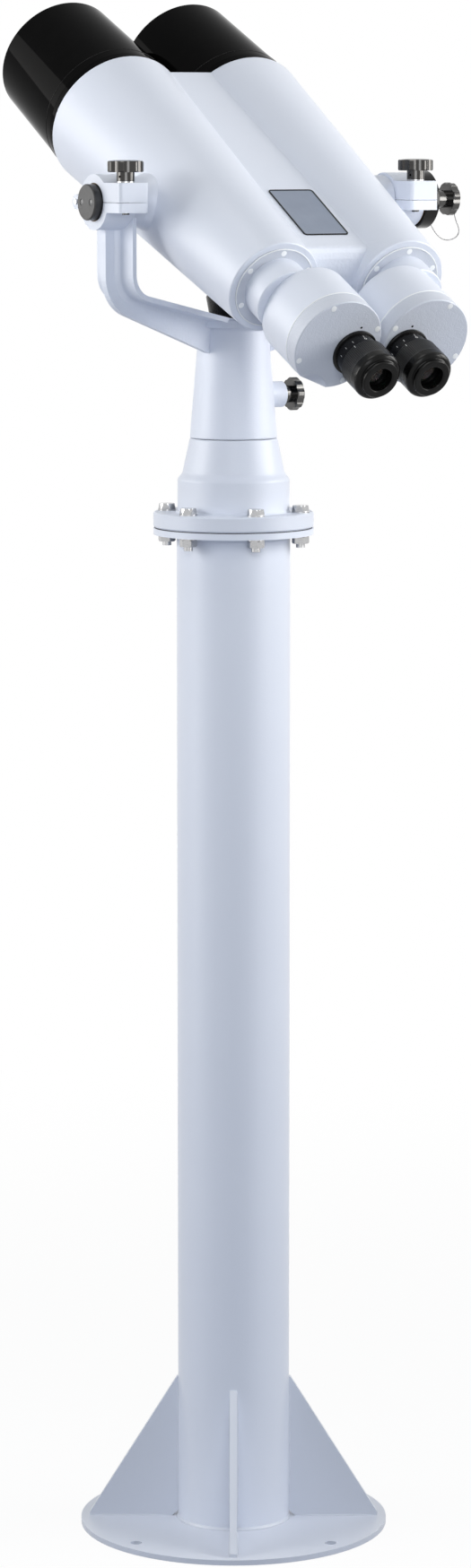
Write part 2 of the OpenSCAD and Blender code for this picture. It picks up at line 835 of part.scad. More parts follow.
// Upper clamp half: a saddle over the bush, the screw block and one knuckle
module clamp_cap(side) {
  seat = trunnion_z + clamp_gap / 2;
  color(paint)
    on_side(side)
      difference() {
        union() {
          difference() {
            union() {
              translate([sleeve_in, trunnion_y, trunnion_z])
                along_x()
                  cylinder(d = sleeve_d, h = sleeve_l);
              sleeve_block(seat, block_up - clamp_gap / 2);
              translate([sleeve_in, trunnion_y + sleeve_d / 2 - 6, seat])
                cube([sleeve_l, hinge_reach - sleeve_d / 2 + 6, knuckle_r - clamp_gap]);
            }
            translate([sleeve_in - cut, trunnion_y - sleeve_d, seat - sleeve_d])
              cube([sleeve_l + 2 * cut, 2 * sleeve_d, sleeve_d]);
            for (x = [sleeve_in - cut, sleeve_x + knuckle_half])
              translate([x, trunnion_y + hinge_reach - knuckle_r - 1, seat - cut])
                cube([sleeve_l / 2 - knuckle_half + cut, sleeve_d, sleeve_d]);
          }
          translate([sleeve_x - knuckle_half, trunnion_y + hinge_reach, trunnion_z])
            along_x()
              cylinder(r = knuckle_r, h = 2 * knuckle_half);
        }
        translate([sleeve_in - cut, trunnion_y, trunnion_z])
          along_x()
            cylinder(r = sleeve_bore_r, h = sleeve_l + 2 * cut);
        translate([sleeve_in - cut, trunnion_y + hinge_reach, trunnion_z])
          along_x()
            cylinder(d = hinge_pin_d, h = sleeve_l + 2 * cut, $fn = 32);
        translate([sleeve_x, trunnion_y - screw_reach, trunnion_z - block_up])
          cylinder(r = clamp_screw_d / 2 + 0.3, h = 3 * block_up, $fn = 32);
      }
}

module clamp_hinge_pins() {
  color(steel)
    for (side = [-1, 1])
      on_side(side)
        translate([sleeve_in, trunnion_y + hinge_reach, trunnion_z])
          along_x()
            cylinder(d = hinge_pin_d, h = sleeve_l + 1.5, $fn = 32);
}

module trunnion_bushes() {
  color(satin_black)
    for (side = [-1, 1])
      on_side(side)
        translate([sleeve_in, trunnion_y, trunnion_z])
          along_x()
            ring(bush_r, bush_r + bush_wall, sleeve_l - 0.8);
}

// Lobed hand screw, with its stud below z = 0 and its head on top
module hand_screw(head_d, head_h, neck_d, neck_h, stud_d, stud_l) {
  scoop_r = head_d * 0.24;
  scoop_at = head_d / 2 + scoop_r - head_d * 0.045;
  hr = head_d / 2;
  difference() {
    union() {
      translate([0, 0, -stud_l])
        cylinder(d = stud_d, h = stud_l + cut, $fn = 32);
      cylinder(d = neck_d, h = neck_h + cut);
      translate([0, 0, neck_h])
        rotate_extrude()
          polygon([[0, 0], [hr - 1, 0], [hr, 1], [hr, head_h - 2.2], [hr - 0.8, head_h - 1.2],
            [hr - 5, head_h - 0.4], [hr - 10, head_h], [0, head_h]]);
    }
    for (i = [0:knob_lobes - 1])
      rotate([0, 0, (i + 0.5) * 360 / knob_lobes])
        translate([scoop_at, 0, neck_h - cut])
          cylinder(r = scoop_r, h = head_h + 2 * cut, $fn = 48);
    translate([0, 0, neck_h * 0.5])
      rotate([0, 90, 20])
        cylinder(d = 2.6, h = neck_d + 2, center = true, $fn = 24);
  }
}

module at_clamp_screw(side) {
  translate([side * sleeve_x, trunnion_y - screw_reach, trunnion_z + block_up + washer_gap])
    children();
}

module clamp_washer(side) {
  color(steel)
    at_clamp_screw(side)
      ring(clamp_screw_d / 2 + run_fit, knob_neck_d / 2, clamp_washer_t);
}

module clamp_screw(side) {
  color(dark_chrome)
    at_clamp_screw(side)
      translate([0, 0, clamp_washer_t + washer_gap])
        hand_screw(knob_d, knob_h, knob_neck_d, knob_neck_l - clamp_washer_t, clamp_screw_d,
          block_up + block_down + clamp_washer_t + clamp_tip);
}

module azimuth_brake_pad() {
  color(steel)
    translate([spindle_d / 2 + pad_gap, 0, seam_z + az_lock_z])
      along_x()
        cylinder(r = pad_r, h = pad_l, $fn = 48);
}

module azimuth_lock_knob() {
  color(dark_chrome)
    translate([az_boss_x + 0.5, 0, seam_z + az_lock_z])
      along_x()
        hand_screw(lock_knob_d, lock_knob_h, knob_neck_d, az_neck_l, lock_screw_d,
          az_boss_x + 0.3 - pad_end);
}

// Outside of one barrel and, separately, the space inside it
module barrel_outside() {
  rf = barrel_front_d / 2;
  rotate_extrude()
    polygon(concat(
      [[0, -body_back], [barrel_back_d / 2 - 1, -body_back], [barrel_back_d / 2, -body_back + 1]],
      arc([rf - barrel_round, body_front - barrel_round], barrel_round, 0, 90, 6),
      [[0, body_front]]));
}

module barrel_inside() {
  rotate_extrude()
    polygon([[0, -body_back - cut], [retainer_d / 2 + 0.1, -body_back - cut],
      [retainer_d / 2 + 0.1, -body_back + ring_seat_l],
      [neck_d / 2 + neck_lip + run_fit, -body_back + ring_seat_l],
      [neck_d / 2 + neck_lip + run_fit, -body_back + ring_seat_l + neck_lip_l],
      [neck_d / 2 - 2.5, -body_back + ring_seat_l + neck_lip_l], [neck_d / 2 - 2.5, bore_v0],
      [barrel_bore_r(bore_v0), bore_v0], [barrel_bore_r(bore_v1), bore_v1], [cell_bore_r, bore_v1],
      [cell_bore_r, body_front + cut], [0, body_front + cut]]);
}

// Side view of the bridge between the barrels, which rolls down at the back
module bridge_profile(inset) {
  f = body_front - barrel_round + 2 - inset;
  b = -body_back + 22 + inset;
  polygon(concat(
    [[f, bridge_front_w - inset]],
    [[b, bridge_back_w - inset]],
    [for (i = [1:6]) [b - 14 * sin(15 * i), (bridge_back_w - inset) * cos(15 * i)]],
    [for (i = [5:-1:1]) [b - 14 * sin(15 * i), -(bridge_back_w - 6 - inset) * cos(15 * i)]],
    [[b, -bridge_back_w + 6 + inset]],
    [[f, -bridge_front_w + 8 + inset]]));
}

module trunnion_boss() {
  r = boss_d / 2;
  root = barrel_x + barrel_r(0);
  along_x()
    rotate_extrude()
      polygon([[0, root - 25], [r + 13, root - 25], [r + 5, root - 8], [r + 1.5, root + 1], [r, root + 6],
        [r, boss_end - 1.5], [r - 1.5, boss_end], [0, boss_end]]);
}

// One casting holds both barrels, the bridge between them and the bosses
module body_casting() {
  color(paint)
    tube_frame()
      difference() {
        union() {
          for (side = [-1, 1]) {
            translate([side * barrel_x, 0, 0])
              along_y()
                barrel_outside();
            on_side(side)
              trunnion_boss();
          }
          rotate([90, 0, 90])
            linear_extrude(barrel_pitch - 40, center = true)
              bridge_profile(0);
        }
        for (side = [-1, 1]) {
          translate([side * barrel_x, 0, 0])
            along_y()
              barrel_inside();
          on_side(side)
            translate([boss_end - spigot_l - 0.5, 0, 0])
              along_x()
                cylinder(r = spigot_r + 0.02, h = spigot_l + 2, $fn = 64);
          translate([side * barrel_x, 0, 0])
            retaining_screw_holes();
        }
        bridge_cavity();
      }
}

// Wedge-shaped hollow inside the bridge
module bridge_cavity() {
  back = -body_back + 30;
  front = 60;
  half_back = barrel_x - barrel_r(back) - 6;
  half_front = barrel_x - barrel_r(front) - 4;
  intersection() {
    translate([0, 0, -bridge_front_w])
      linear_extrude(2 * bridge_front_w)
        polygon([[-half_back, back], [half_back, back], [half_front, front], [-half_front, front]]);
    rotate([90, 0, 90])
      linear_extrude(barrel_pitch, center = true)
        bridge_profile(6);
  }
}

module at_retaining_screws() {
  for (i = [0:5])
    rotate([0, 30 + 60 * i, 0])
      translate([retaining_screw_r, 0, 0])
        children();
}

module retaining_screw_holes() {
  at_retaining_screws()
    translate([0, -body_back + ring_seat_l - cut, 0])
      along_y()
        cylinder(d = 3.1, h = 7 + cut, $fn = 24);
}

module trunnion_pin(length, recess) {
  r = trunnion_d / 2;
  difference() {
    rotate_extrude()
      polygon([[0, -spigot_l], [spigot_r - 1, -spigot_l], [spigot_r, -spigot_l + 1], [spigot_r, 0], [r, 0],
        [r, length - 1], [r - 1, length], [0, length]]);
    if (recess > 0)
      for (a = [90, 270])
        rotate([0, 0, a])
          translate([10, 0, length - recess])
            cylinder(d = 7, h = recess + cut, $fn = 32);
  }
}

module trunnion_left() {
  color(dark_chrome)
    tube_frame()
      rotate([-rest_tilt, 0, 0])
        mirror([1, 0, 0])
          translate([boss_end, 0, 0])
            along_x()
              trunnion_pin(sleeve_out + pin_proud - boss_end, 1.5);
}

module trunnion_right() {
  color(dark_chrome)
    tube_frame()
      difference() {
        translate([boss_end, 0, 0])
          along_x()
            trunnion_pin(brake_x - boss_end, 0);
        translate([brake_x - lock_thread_l, 0, 0])
          along_x()
            cylinder(r = lock_screw_d / 2 + run_fit, h = lock_thread_l + cut, $fn = 48);
      }
}

module brake_disc() {
  r = brake_d / 2;
  color(satin_black)
    tube_frame()
      difference() {
        translate([brake_x, 0, 0])
          along_x()
            rotate_extrude()
              polygon([[lock_screw_d / 2 + 0.3, 0], [r - 1.2, 0], [r, 1.2], [r, brake_t - 1.5],
                [r - 1.5, brake_t], [r - 8, brake_t], [r - 9, brake_t - 1], [12, brake_t - 1],
                [11, brake_t], [lock_screw_d / 2 + 0.3, brake_t]]);
        lanyard_hole();
      }
}

// Blind hole in the disc that takes the wire's end
module lanyard_hole() {
  rotate([-rest_tilt, 0, 0])
    translate([brake_end - 7, 0, lanyard_route[lanyard_n - 1][1]])
      along_x()
        cylinder(r = 1.1, h = 8, $fn = 24);
}

module friction_washer() {
  color([0.35, 0.22, 0.12])
    tube_frame()
      translate([friction_x, 0, 0])
        along_x()
          ring(trunnion_d / 2 + 0.1, sleeve_d / 2 - 0.5, friction_t);
}

module hood(side) {
  r0 = hood_root_d / 2;
  r1 = hood_mouth_d / 2;
  color(gloss_black)
    barrel_frame(side)
      translate([0, 0, hood_v])
        rotate_extrude()
          polygon([[r0 - hood_wall, 0], [r0 - 0.5, 0], [r0, 0.5], [r1, hood_l - 1], [r1 - 0.7, hood_l],
            [r1 - hood_wall, hood_l]]);
}

// Lens cell: a spigot in the barrel, the black ring that shows, and a seat
module objective_cells() {
  seat_r = lens_d / 2 + 0.1;
  ring_r = hood_root_d / 2 + 0.5;
  spigot = hood_root_d / 2 - hood_wall - 0.3;
  color(gloss_black)
    for (side = [-1, 1])
      barrel_frame(side)
        translate([0, 0, body_front])
          rotate_extrude()
            polygon([[seat_r - 2, -14], [cell_bore_r - 0.1, -14], [cell_bore_r - 0.1, 0], [ring_r, 0],
              [ring_r, cell_ring_l - 0.6], [ring_r - 0.6, cell_ring_l], [spigot, cell_ring_l],
              [spigot, cell_ring_l + 8], [seat_r + 2.5, cell_ring_l + 8], [seat_r + 1.5, cell_ring_l + 4],
              [seat_r, cell_ring_l + 4], [seat_r, -11], [seat_r - 2, -11]]);
}

// Half section of a lens with a bulge at the front and at the back
function lens_section(r, t, front, back) = concat(
  [[0, -back]],
  [for (i = [1:8]) [r * i / 8, -back * (1 - i * i / 64)]],
  [for (i = [8:-1:1]) [r * i / 8, t + front * (1 - i * i / 64)]],
  [[0, t + front]]);

module objective_lenses() {
  r = lens_d / 2;
  color(glass)
    for (side = [-1, 1])
      barrel_frame(side)
        translate([0, 0, body_front]) {
          translate([0, 0, -10.8])
            rotate_extrude()
              polygon(lens_section(r, 8, -4, 0));
          translate([0, 0, -2.4])
            rotate_extrude()
              polygon(lens_section(r, 7, 5, 3.8));
        }
}

module barrel_baffles() {
  color(satin_black)
    for (side = [-1, 1])
      barrel_frame(side)
        for (k = [0:2]) {
          v = bore_v0 + (0.186 + 0.26 * k) * (bore_v1 - bore_v0);
          translate([0, 0, v])
            ring(lens_d * (0.2 + 0.095 * k), barrel_bore_r(v) - 0.1, barrel_wall / 3);
        }
}

module retaining_rings() {
  lift = 1.4;
  r = retainer_d / 2;
  color(paint)
    for (side = [-1, 1])
      tube_frame()
        translate([side * barrel_x, 0, 0])
          difference() {
            along_y()
              translate([0, 0, -body_back - lift])
                rotate_extrude()
                  polygon([[neck_d / 2 + run_fit, 0], [r - 1.4, 0], [r, lift], [r, ring_seat_l + lift],
                    [neck_d / 2 + run_fit, ring_seat_l + lift]]);
            at_retaining_screws()
              translate([0, -body_back - lift - cut, 0])
                along_y() {
                  cylinder(d = 3.4, h = ring_seat_l + lift + 2 * cut, $fn = 24);
                  cylinder(d = 6.2, h = cut + 3, $fn = 24);
                }
          }
}

module retaining_screws() {
  lift = 1.4;
  color(paint)
    for (side = [-1, 1])
      tube_frame()
        translate([side * barrel_x, 0, 0])
          at_retaining_screws()
            translate([0, -body_back - lift + 0.3, 0])
              along_y() {
                cylinder(d = 6, h = 2.6, $fn = 24);
                cylinder(d = 3, h = 13, $fn = 24);
              }
}

module nameplate() {
  slope = atan((bridge_front_w - bridge_back_w) / (body_front - barrel_round + 2 + body_back - 22));
  mid_v = -103;
  mid_w = bridge_back_w + (mid_v + body_back - 22) * tan(slope);
  color([0.42, 0.47, 0.55])
    tube_frame()
      translate([0, mid_v, mid_w])
        rotate([slope, 0, 0]) {
          linear_extrude(0.8)
            polygon(round_rect(plate_w, plate_l, 4));
          translate([0, 0, 0.8])
            linear_extrude(0.3)
              difference() {
                polygon(round_rect(plate_w, plate_l, 4));
                polygon(round_rect(plate_w - 2.4, plate_l - 2.4, 3));
              }
        }
}

module tilt_lock_knob() {
  color(dark_chrome)
    tube_frame()
      difference() {
        translate([tilt_knob_x, 0, 0])
          along_x()
            hand_screw(lock_knob_d, lock_knob_h, knob_neck_d, tilt_neck_l, lock_screw_d,
              brake_t + lock_thread_l * 0.7);
        translate([swivel_x - 8, 0, 0])
          along_x()
            cylinder(r = 2 + run_fit, h = 10, $fn = 32);
      }
}

// Shoulder screw in the knob's face and the eyelet that turns on it
module lanyard_swivel() {
  color(steel)
    tube_frame()
      rotate([-rest_tilt, 0, 0])
        translate([swivel_x, 0, 0]) {
          along_x() {
            translate([0, 0, -7])
              cylinder(r = 2, h = 8.4, $fn = 32);
            translate([0, 0, 1.3])
              cylinder(r1 = 3.6, r2 = 3, h = 1.4, $fn = 32);
          }
          translate([0.2, 0, 0])
            along_x()
              ring(2.1, 4.6, 0.8);
          translate([lanyard_at(0)[0] - swivel_x, 0, lanyard_at(0)[1]])
            cylinder(r = 1.2, h = -lanyard_at(0)[1] - 4.3, $fn = 24);
        }
}

// The route is stretched to reach from the knob's face to the disc's face
function lanyard_at(i) =
  let (p = lanyard_route[i], reach = (swivel_x + 1.8 - brake_end) / lanyard_knob)
  [brake_end + p[0] * (p[0] > 0 ? reach : 1), p[1]];

function lanyard_dir(i) =
  let (a = lanyard_at(max(0, i - 1)), b = lanyard_at(min(lanyard_n - 1, i + 1)))
  (b - a) / norm(b - a);

// A round wire swept along its route, which lies in one upright plane
module lock_lanyard() {
  r = lanyard_d / 2;
  rings = [for (i = [0:lanyard_n - 1], k = [0:7])
    let (p = lanyard_at(i), d = lanyard_dir(i), c = r * cos(45 * k), w = r * sin(45 * k))
    [p[0] - d[1] * c, trunnion_y + w, trunnion_z + p[1] + d[0] * c]];
  sides = [for (i = [0:lanyard_n - 2], k = [0:7])
    let (k2 = (k + 1) % 8)
    [8 * i + k, 8 * i + k2, 8 * (i + 1) + k2, 8 * (i + 1) + k]];
  color(steel)
    polyhedron(rings, concat([[for (k = [7:-1:0]) k]], sides, [[for (k = [0:7]) 8 * (lanyard_n - 1) + k]]));
}

// Neck and lobed tub of a prism housing, open towards the eye
module prism_housing(side) {
  r = housing_d / 2;
  rn = neck_d / 2;
  bore = rn - 5;
  lip_v = neck_v + ring_seat_l + neck_lip_l - end_fit / 2;
  color(paint)
    housing_frame(side)
      difference() {
        union() {
          along_y()
            rotate_extrude()
              polygon([[0, housing_v - 2.5], [rn - 1, housing_v - 2.5], [rn, housing_v - 1.5],
                [rn, neck_v + ring_seat_l + end_fit / 2],
                [rn + neck_lip, neck_v + ring_seat_l + end_fit / 2],
                [rn + neck_lip, lip_v], [0, lip_v]]);
          translate([housing_offset, 0, 0])
            along_y()
              rotate_extrude()
                polygon(concat(
                  [[0, cap_v], [r - 0.6, cap_v], [r, cap_v + 0.6]],
                  arc([r - 5, housing_v - 5], 5, 0, 90, 6),
                  [[0, housing_v]]));
        }
        along_y()
          translate([0, 0, housing_v + 3])
            cylinder(r = bore, h = neck_l + 40);
        translate([2, 0, 0])
          along_y()
            translate([0, 0, housing_v - 8])
              cylinder(r = 19, h = 14);
        translate([housing_offset, 0, 0])
          along_y()
            translate([0, 0, cap_v - cut])
              cylinder(r = cavity_r, h = housing_l - 6 + cut);
        at_cap_screws()
          translate([0, cap_v - cut, 0])
            along_y()
              cylinder(d = 3.1, h = 12 + cut, $fn = 24);
      }
}

module at_cap_screws() {
  translate([housing_offset, 0, 0])
    for (a = [45:90:315])
      rotate([0, a, 0])
        translate([cap_screw_r, 0, 0])
          children();
}

// End cap with the eyepiece bore and the slanting scallop on its lower side
module prism_cap(side) {
  r = housing_d / 2 - 0.2;
  dip_r = 33;
  dip_tilt = 42;
  color(paint)
    housing_frame(side)
      difference() {
        translate([housing_offset, 0, 0])
          along_y()
            rotate_extrude()
              polygon([[0, face_v], [r - 1, face_v], [r, face_v + 1], [r, cap_v - 1],
                [r - 1, cap_v], [cavity_r - 0.2, cap_v], [cavity_r - 0.2, cap_v + 3],
                [cavity_r - 3, cap_v + 3], [cavity_r - 3, face_v + 6], [0, face_v + 6]]);
        translate([eyepiece_offset, face_v - cut, 0])
          along_y()
            cylinder(r = eye_bore_r + 0.05, h = cap_l + 4);
        at_cap_screws()
          translate([0, face_v - cut, 0])
            along_y() {
              cylinder(d = 3.4, h = cap_l + cut + 6, $fn = 24);
              cylinder(d = 6.6, h = cut + 3, $fn = 24);
            }
        translate([housing_offset, face_v, scallop_r + dip_r / cos(dip_tilt)])
          rotate([dip_tilt, 0, 0])
            along_y()
              cylinder(r = dip_r, h = 120, center = true);
      }
}

module cap_screws(side) {
  color(paint)
    housing_frame(side)
      at_cap_screws()
        translate([0, face_v + 0.2, 0])
          along_y() {
            cylinder(d = 6.4, h = 2.8, $fn = 24);
            cylinder(d = 3, h = cap_l + 10, $fn = 24);
          }
}

// Rhomboid prism that carries the light across, and the erecting block before it
module prisms(side) {
  a = 13;
  v0 = housing_v - 6;
  color(glass)
    housing_frame(side) {
      linear_extrude(2 * a, center = true)
        polygon([[-a, v0], [eyepiece_offset - a, v0], [eyepiece_offset + a, v0 - 2 * a], [a, v0 - 2 * a]]);
      along_y()
        translate([0, 0, housing_v + 3])
          cylinder(r = neck_d / 2 - 5.3, h = 20, $fn = 8);
    }
}

module eyepiece_base(side) {
  r = scale_d / 2;
  color(satin_black)
    eyepiece_frame(side)
      rotate_extrude()
        polygon([[cell_r + run_fit, focus_v - 7], [r - 0.4, focus_v - 7], [r, focus_v - 6.6],
          [r, face_v - 3.6],
          [eye_flange_d / 2 - 0.6, face_v - 3], [eye_flange_d / 2, face_v - 2.2],
          [eye_flange_d / 2, face_v],
          [eye_bore_r, face_v], [eye_bore_r, face_v + 5.6], [cell_r + run_fit, face_v + 5.6]]);
}

// Sliding tube that holds the eye lens and keeps it from turning
module eyepiece_cell(side) {
  color(satin_black)
    eyepiece_frame(side)
      rotate_extrude()
        polygon([[cell_r - 3, face_v - 4], [cell_r, face_v - 4], [cell_r, cup_v - 3],
          [cell_r - 0.5, cup_v - 3.5],
          [13.5, cup_v - 3.5], [12, cup_v - 1], [12, cup_v + 1], [cell_r - 3, cup_v + 1]]);
}

module eye_lens(side) {
  color(glass)
    eyepiece_frame(side)
      translate([0, 0, cup_v + 2])
        rotate_extrude()
          polygon(lens_section(cell_r - 3.05, 4, 3, 1));
}

// Ribbed ring with a skirt over the scale barrel
module focus_ring(side) {
  r = focus_d / 2;
  skirt = scale_d / 2 + run_fit;
  web_r = cell_r + 0.1;
  rib_turn = 360 / focus_ribs;
  groove_r = 0.3 * PI * focus_d / focus_ribs;
  color(satin_black)
    eyepiece_frame(side)
      difference() {
        rotate_extrude()
          polygon([[skirt, focus_v], [r - 0.6, focus_v], [r, focus_v - 0.8], [r, cup_v + 0.4],
            [r - 0.4, cup_v],
            [web_r, cup_v], [web_r, focus_v - 10.5], [skirt, focus_v - 10.5]]);
        for (i = [0:focus_ribs - 1])
          rotate([0, 0, i * rib_turn])
            translate([r + 0.4 * groove_r, 0, cup_v + 1.5])
              cylinder(r = groove_r, h = focus_l - 3, $fn = 12);
      }
}

// Rubber eyecup: a round shoulder, a step and a softly rolled rim
module eyecup(side) {
  r = focus_d / 2 + 0.2;
  rim = eyecup_rim_d / 2;
  mouth = eyecup_mouth_d / 2;
  color(satin_black)
    eyepiece_frame(side)
      rotate_extrude()
        polygon(concat(
          [[web_edge, cup_v], [r, cup_v]],
          arc([r - 5, cup_v - 7], 5, 0, -90, 6),
          [[rim + 0.5, cup_v - 12], [rim, cup_v - 12.6]],
          arc([rim - 2, cup_v - 15], 2, 0, -90, 4),
          arc([mouth + 2, cup_v - 15], 2, -90, -180, 4),
          [[mouth, cup_v - 7.5], [web_edge, cup_v - 7.5]]));
}

base_plate();
gussets();
pillar_tube();
pillar_flange();
flange_gasket();
pedestal_head();
flange_bolts();
flange_washers();
flange_nuts();
azimuth_spindle();
lower_bearing();
upper_bearing();
spindle_nut();
fork();
hub_cap();
dust_seal();
clamp_cap(-1);  // clamp_cap_left
clamp_cap(1);  // clamp_cap_right
clamp_hinge_pins();
trunnion_bushes();
clamp_washer(-1);  // clamp_washer_left
clamp_washer(1);  // clamp_washer_right
clamp_screw(-1);  // clamp_screw_left
clamp_screw(1);  // clamp_screw_right
azimuth_brake_pad();
azimuth_lock_knob();
body_casting();
trunnion_left();
trunnion_right();
brake_disc();
friction_washer();
hood(-1);  // hood_left
hood(1);  // hood_right
objective_cells();
objective_lenses();
barrel_baffles();
retaining_rings();
retaining_screws();
nameplate();
tilt_lock_knob();
lanyard_swivel();
lock_lanyard();
prism_housing(-1);  // prism_housing_left
prism_housing(1);  // prism_housing_right
prism_cap(-1);  // prism_cap_left
prism_cap(1);  // prism_cap_right
cap_screws(-1);  // cap_screws_left
cap_screws(1);  // cap_screws_right
prisms(-1);  // prisms_left
prisms(1);  // prisms_right
eyepiece_base(-1);  // eyepiece_base_left
eyepiece_base(1);  // eyepiece_base_right
eyepiece_cell(-1);  // eyepiece_cell_left
eyepiece_cell(1);  // eyepiece_cell_right
eye_lens(-1);  // eye_lens_left
eye_lens(1);  // eye_lens_right
focus_ring(-1);  // focus_ring_left
focus_ring(1);  // focus_ring_right
eyecup(-1);  // eyecup_left
eyecup(1);  // eyecup_right
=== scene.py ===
# %% [markdown]
# # Giant binoculars on a pillar
# This lesson dresses a ready-made CAD model of a pair of observation binoculars. The solids
# come from the frame and never move: we add the camera, the light, the paint and metal, and
# the small pieces that a CAD model leaves out, such as weld beads and scale marks.
# Blender works in metres, and +Y is the way the barrels point. Sizes of the object are
# written in millimetres and multiplied by MM.

import json
import math

import bmesh
import bpy
from mathutils import Matrix, Vector


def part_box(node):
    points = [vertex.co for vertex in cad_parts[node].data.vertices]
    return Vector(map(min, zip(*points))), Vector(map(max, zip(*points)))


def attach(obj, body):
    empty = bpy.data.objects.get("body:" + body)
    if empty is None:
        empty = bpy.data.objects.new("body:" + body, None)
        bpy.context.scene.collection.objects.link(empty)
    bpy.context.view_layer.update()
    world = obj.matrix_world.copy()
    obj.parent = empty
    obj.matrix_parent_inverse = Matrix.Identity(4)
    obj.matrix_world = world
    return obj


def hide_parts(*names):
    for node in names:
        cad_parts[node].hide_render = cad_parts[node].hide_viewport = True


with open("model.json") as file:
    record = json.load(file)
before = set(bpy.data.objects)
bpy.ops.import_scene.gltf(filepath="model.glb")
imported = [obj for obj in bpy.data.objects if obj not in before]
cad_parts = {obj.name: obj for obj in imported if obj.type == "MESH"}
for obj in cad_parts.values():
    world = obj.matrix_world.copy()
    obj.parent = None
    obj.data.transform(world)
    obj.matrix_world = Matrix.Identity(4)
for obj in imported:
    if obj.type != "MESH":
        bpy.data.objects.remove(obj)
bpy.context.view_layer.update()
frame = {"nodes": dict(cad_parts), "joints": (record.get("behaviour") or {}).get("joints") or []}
NODES = frame["nodes"]
JOINTS = {joint["name"]: joint for joint in frame["joints"]}

# %% [markdown]
# ## The camera
# The photograph was taken a little above the barrels' height, about five metres away, from
# behind the observer's left shoulder. A long lens keeps the tall pillar upright, so the
# camera needs no shift: it only looks down by eight degrees. Its place could be guessed and
# nudged, but here it was fitted to the plate, the flange, the bolts and the barrels.

# %% Camera
IMAGE_HEIGHT = 1749
FOCAL_PX = 5200.0
SENSOR_MM = 36.0
VIEW_TURN = math.radians(30.9)
VIEW_PITCH = math.radians(8.02)
CAMERA_SPOT = (-2.6685, -4.4630, 1.5880)
FAR_CLIP = 100

camera_data = bpy.data.cameras.new("camera")
camera_data.sensor_width = SENSOR_MM
camera_data.lens = SENSOR_MM * FOCAL_PX / IMAGE_HEIGHT
camera_data.clip_end = FAR_CLIP
camera = bpy.data.objects.new("camera", camera_data)
camera.location = CAMERA_SPOT
look = Vector((math.sin(VIEW_TURN) * math.cos(VIEW_PITCH),
               math.cos(VIEW_TURN) * math.cos(VIEW_PITCH), -math.sin(VIEW_PITCH)))
camera.rotation_mode = "QUATERNION"
camera.rotation_quaternion = look.to_track_quat("-Z", "Y")
bpy.context.scene.collection.objects.link(camera)
bpy.context.scene.camera = camera
print("camera lens", round(camera_data.lens, 1), "mm")

# %% [markdown]
# ## The places that the CAD model uses
# The binocular tilts about its trunnions, the prism housings hang from the barrel axes, and
# an eyepiece sits off each housing's centre. The joints of the frame give the pivots and the
# tilt. Each later piece could be worked out in the room's own X, Y and Z, but one matrix for
# each place lets it be drawn flat and simple, and then be laid where it belongs. A name that
# ends in V is a distance along the barrels, forward from the trunnions, and R is a radius.

# %% Places
MM = 0.001
TRUNNION = Vector(JOINTS["elevation"]["pos_m"])
BARREL_X = JOINTS["ipd_right"]["pos_m"][0] / MM
BARREL_AXIS = JOINTS["ipd_right"]["axis"]
TILT = math.atan2(BARREL_AXIS[2], BARREL_AXIS[1])
HOUSING_TURN = 22.5
EYEPIECE_OUT = 51
SIDES = {"left": -1, "right": 1}


def shift(x=0.0, y=0.0, z=0.0):
    """A move in millimetres."""
    return Matrix.Translation(Vector((x, y, z)) * MM)


def turn(axis, degrees):
    return Matrix.Rotation(math.radians(degrees), 4, axis)


tube_place = Matrix.Translation(TRUNNION) @ turn("X", math.degrees(TILT))
ALONG_TUBE = turn("X", -90)
ALONG_X = turn("Y", 90)


def barrel_place(side):
    return tube_place @ shift(side * BARREL_X)


def housing_place(side):
    return barrel_place(side) @ turn("Y", HOUSING_TURN if side < 0 else 180 - HOUSING_TURN)


def eyepiece_place(side):
    return housing_place(side) @ shift(EYEPIECE_OUT) @ ALONG_TUBE


left_eye, right_eye = (eyepiece_place(side).translation for side in SIDES.values())
print("tilt", round(math.degrees(TILT), 2), "degrees, eyepiece spacing",
      round((right_eye - left_eye).length / MM, 1), "mm")

# %% [markdown]
# ## The wire lanyard
# A thin steel wire keeps the tilt lock knob from being lost. It leaves a swivel on the knob's
# face, hangs in one loop, and goes into a hole in the brake disc. A curve object would do, but
# a tube swept along the route's own points is a true mesh, and its length can be measured.

# %% Lanyard route
BRAKE_END = 222.1
LANYARD_D = 1.2 * MM
LANYARD_ROUTE = [
    (39.5, -11), (39.8, -15.5), (41, -20.5), (43, -26), (45.6, -31.5), (46.2, -37),
    (43.4, -42), (37.6, -45), (31, -46), (24, -44.6), (17.6, -40.4), (12.4, -34.6),
    (8.4, -28.4), (5.4, -22.6), (2.4, -18.8), (-1.6, -17.6), (-5.6, -17.6)]
lanyard_points = [Vector(((BRAKE_END + x) * MM, TRUNNION.y, TRUNNION.z + z * MM))
                  for x, z in LANYARD_ROUTE]


def smooth_path(points, between=4):
    """A finer path that curves smoothly through the same points."""
    path = []
    last = len(points) - 1
    for i in range(last):
        p0, p1, p2, p3 = (points[max(0, min(last, i + k))] for k in (-1, 0, 1, 2))
        for j in range(between):
            t = j / between
            path.append(0.5 * (2 * p1 + (p2 - p0) * t + (2 * p0 - 5 * p1 + 4 * p2 - p3) * t * t
                               + (3 * p1 - p0 - 3 * p2 + p3) * t ** 3))
    return path + [points[-1]]


lanyard_path = smooth_path(lanyard_points)
lanyard_length = sum((b - a).length for a, b in zip(lanyard_path, lanyard_path[1:]))
print("lanyard length", round(lanyard_length / MM), "mm in", len(lanyard_path), "points")

# %% Meshes from rings


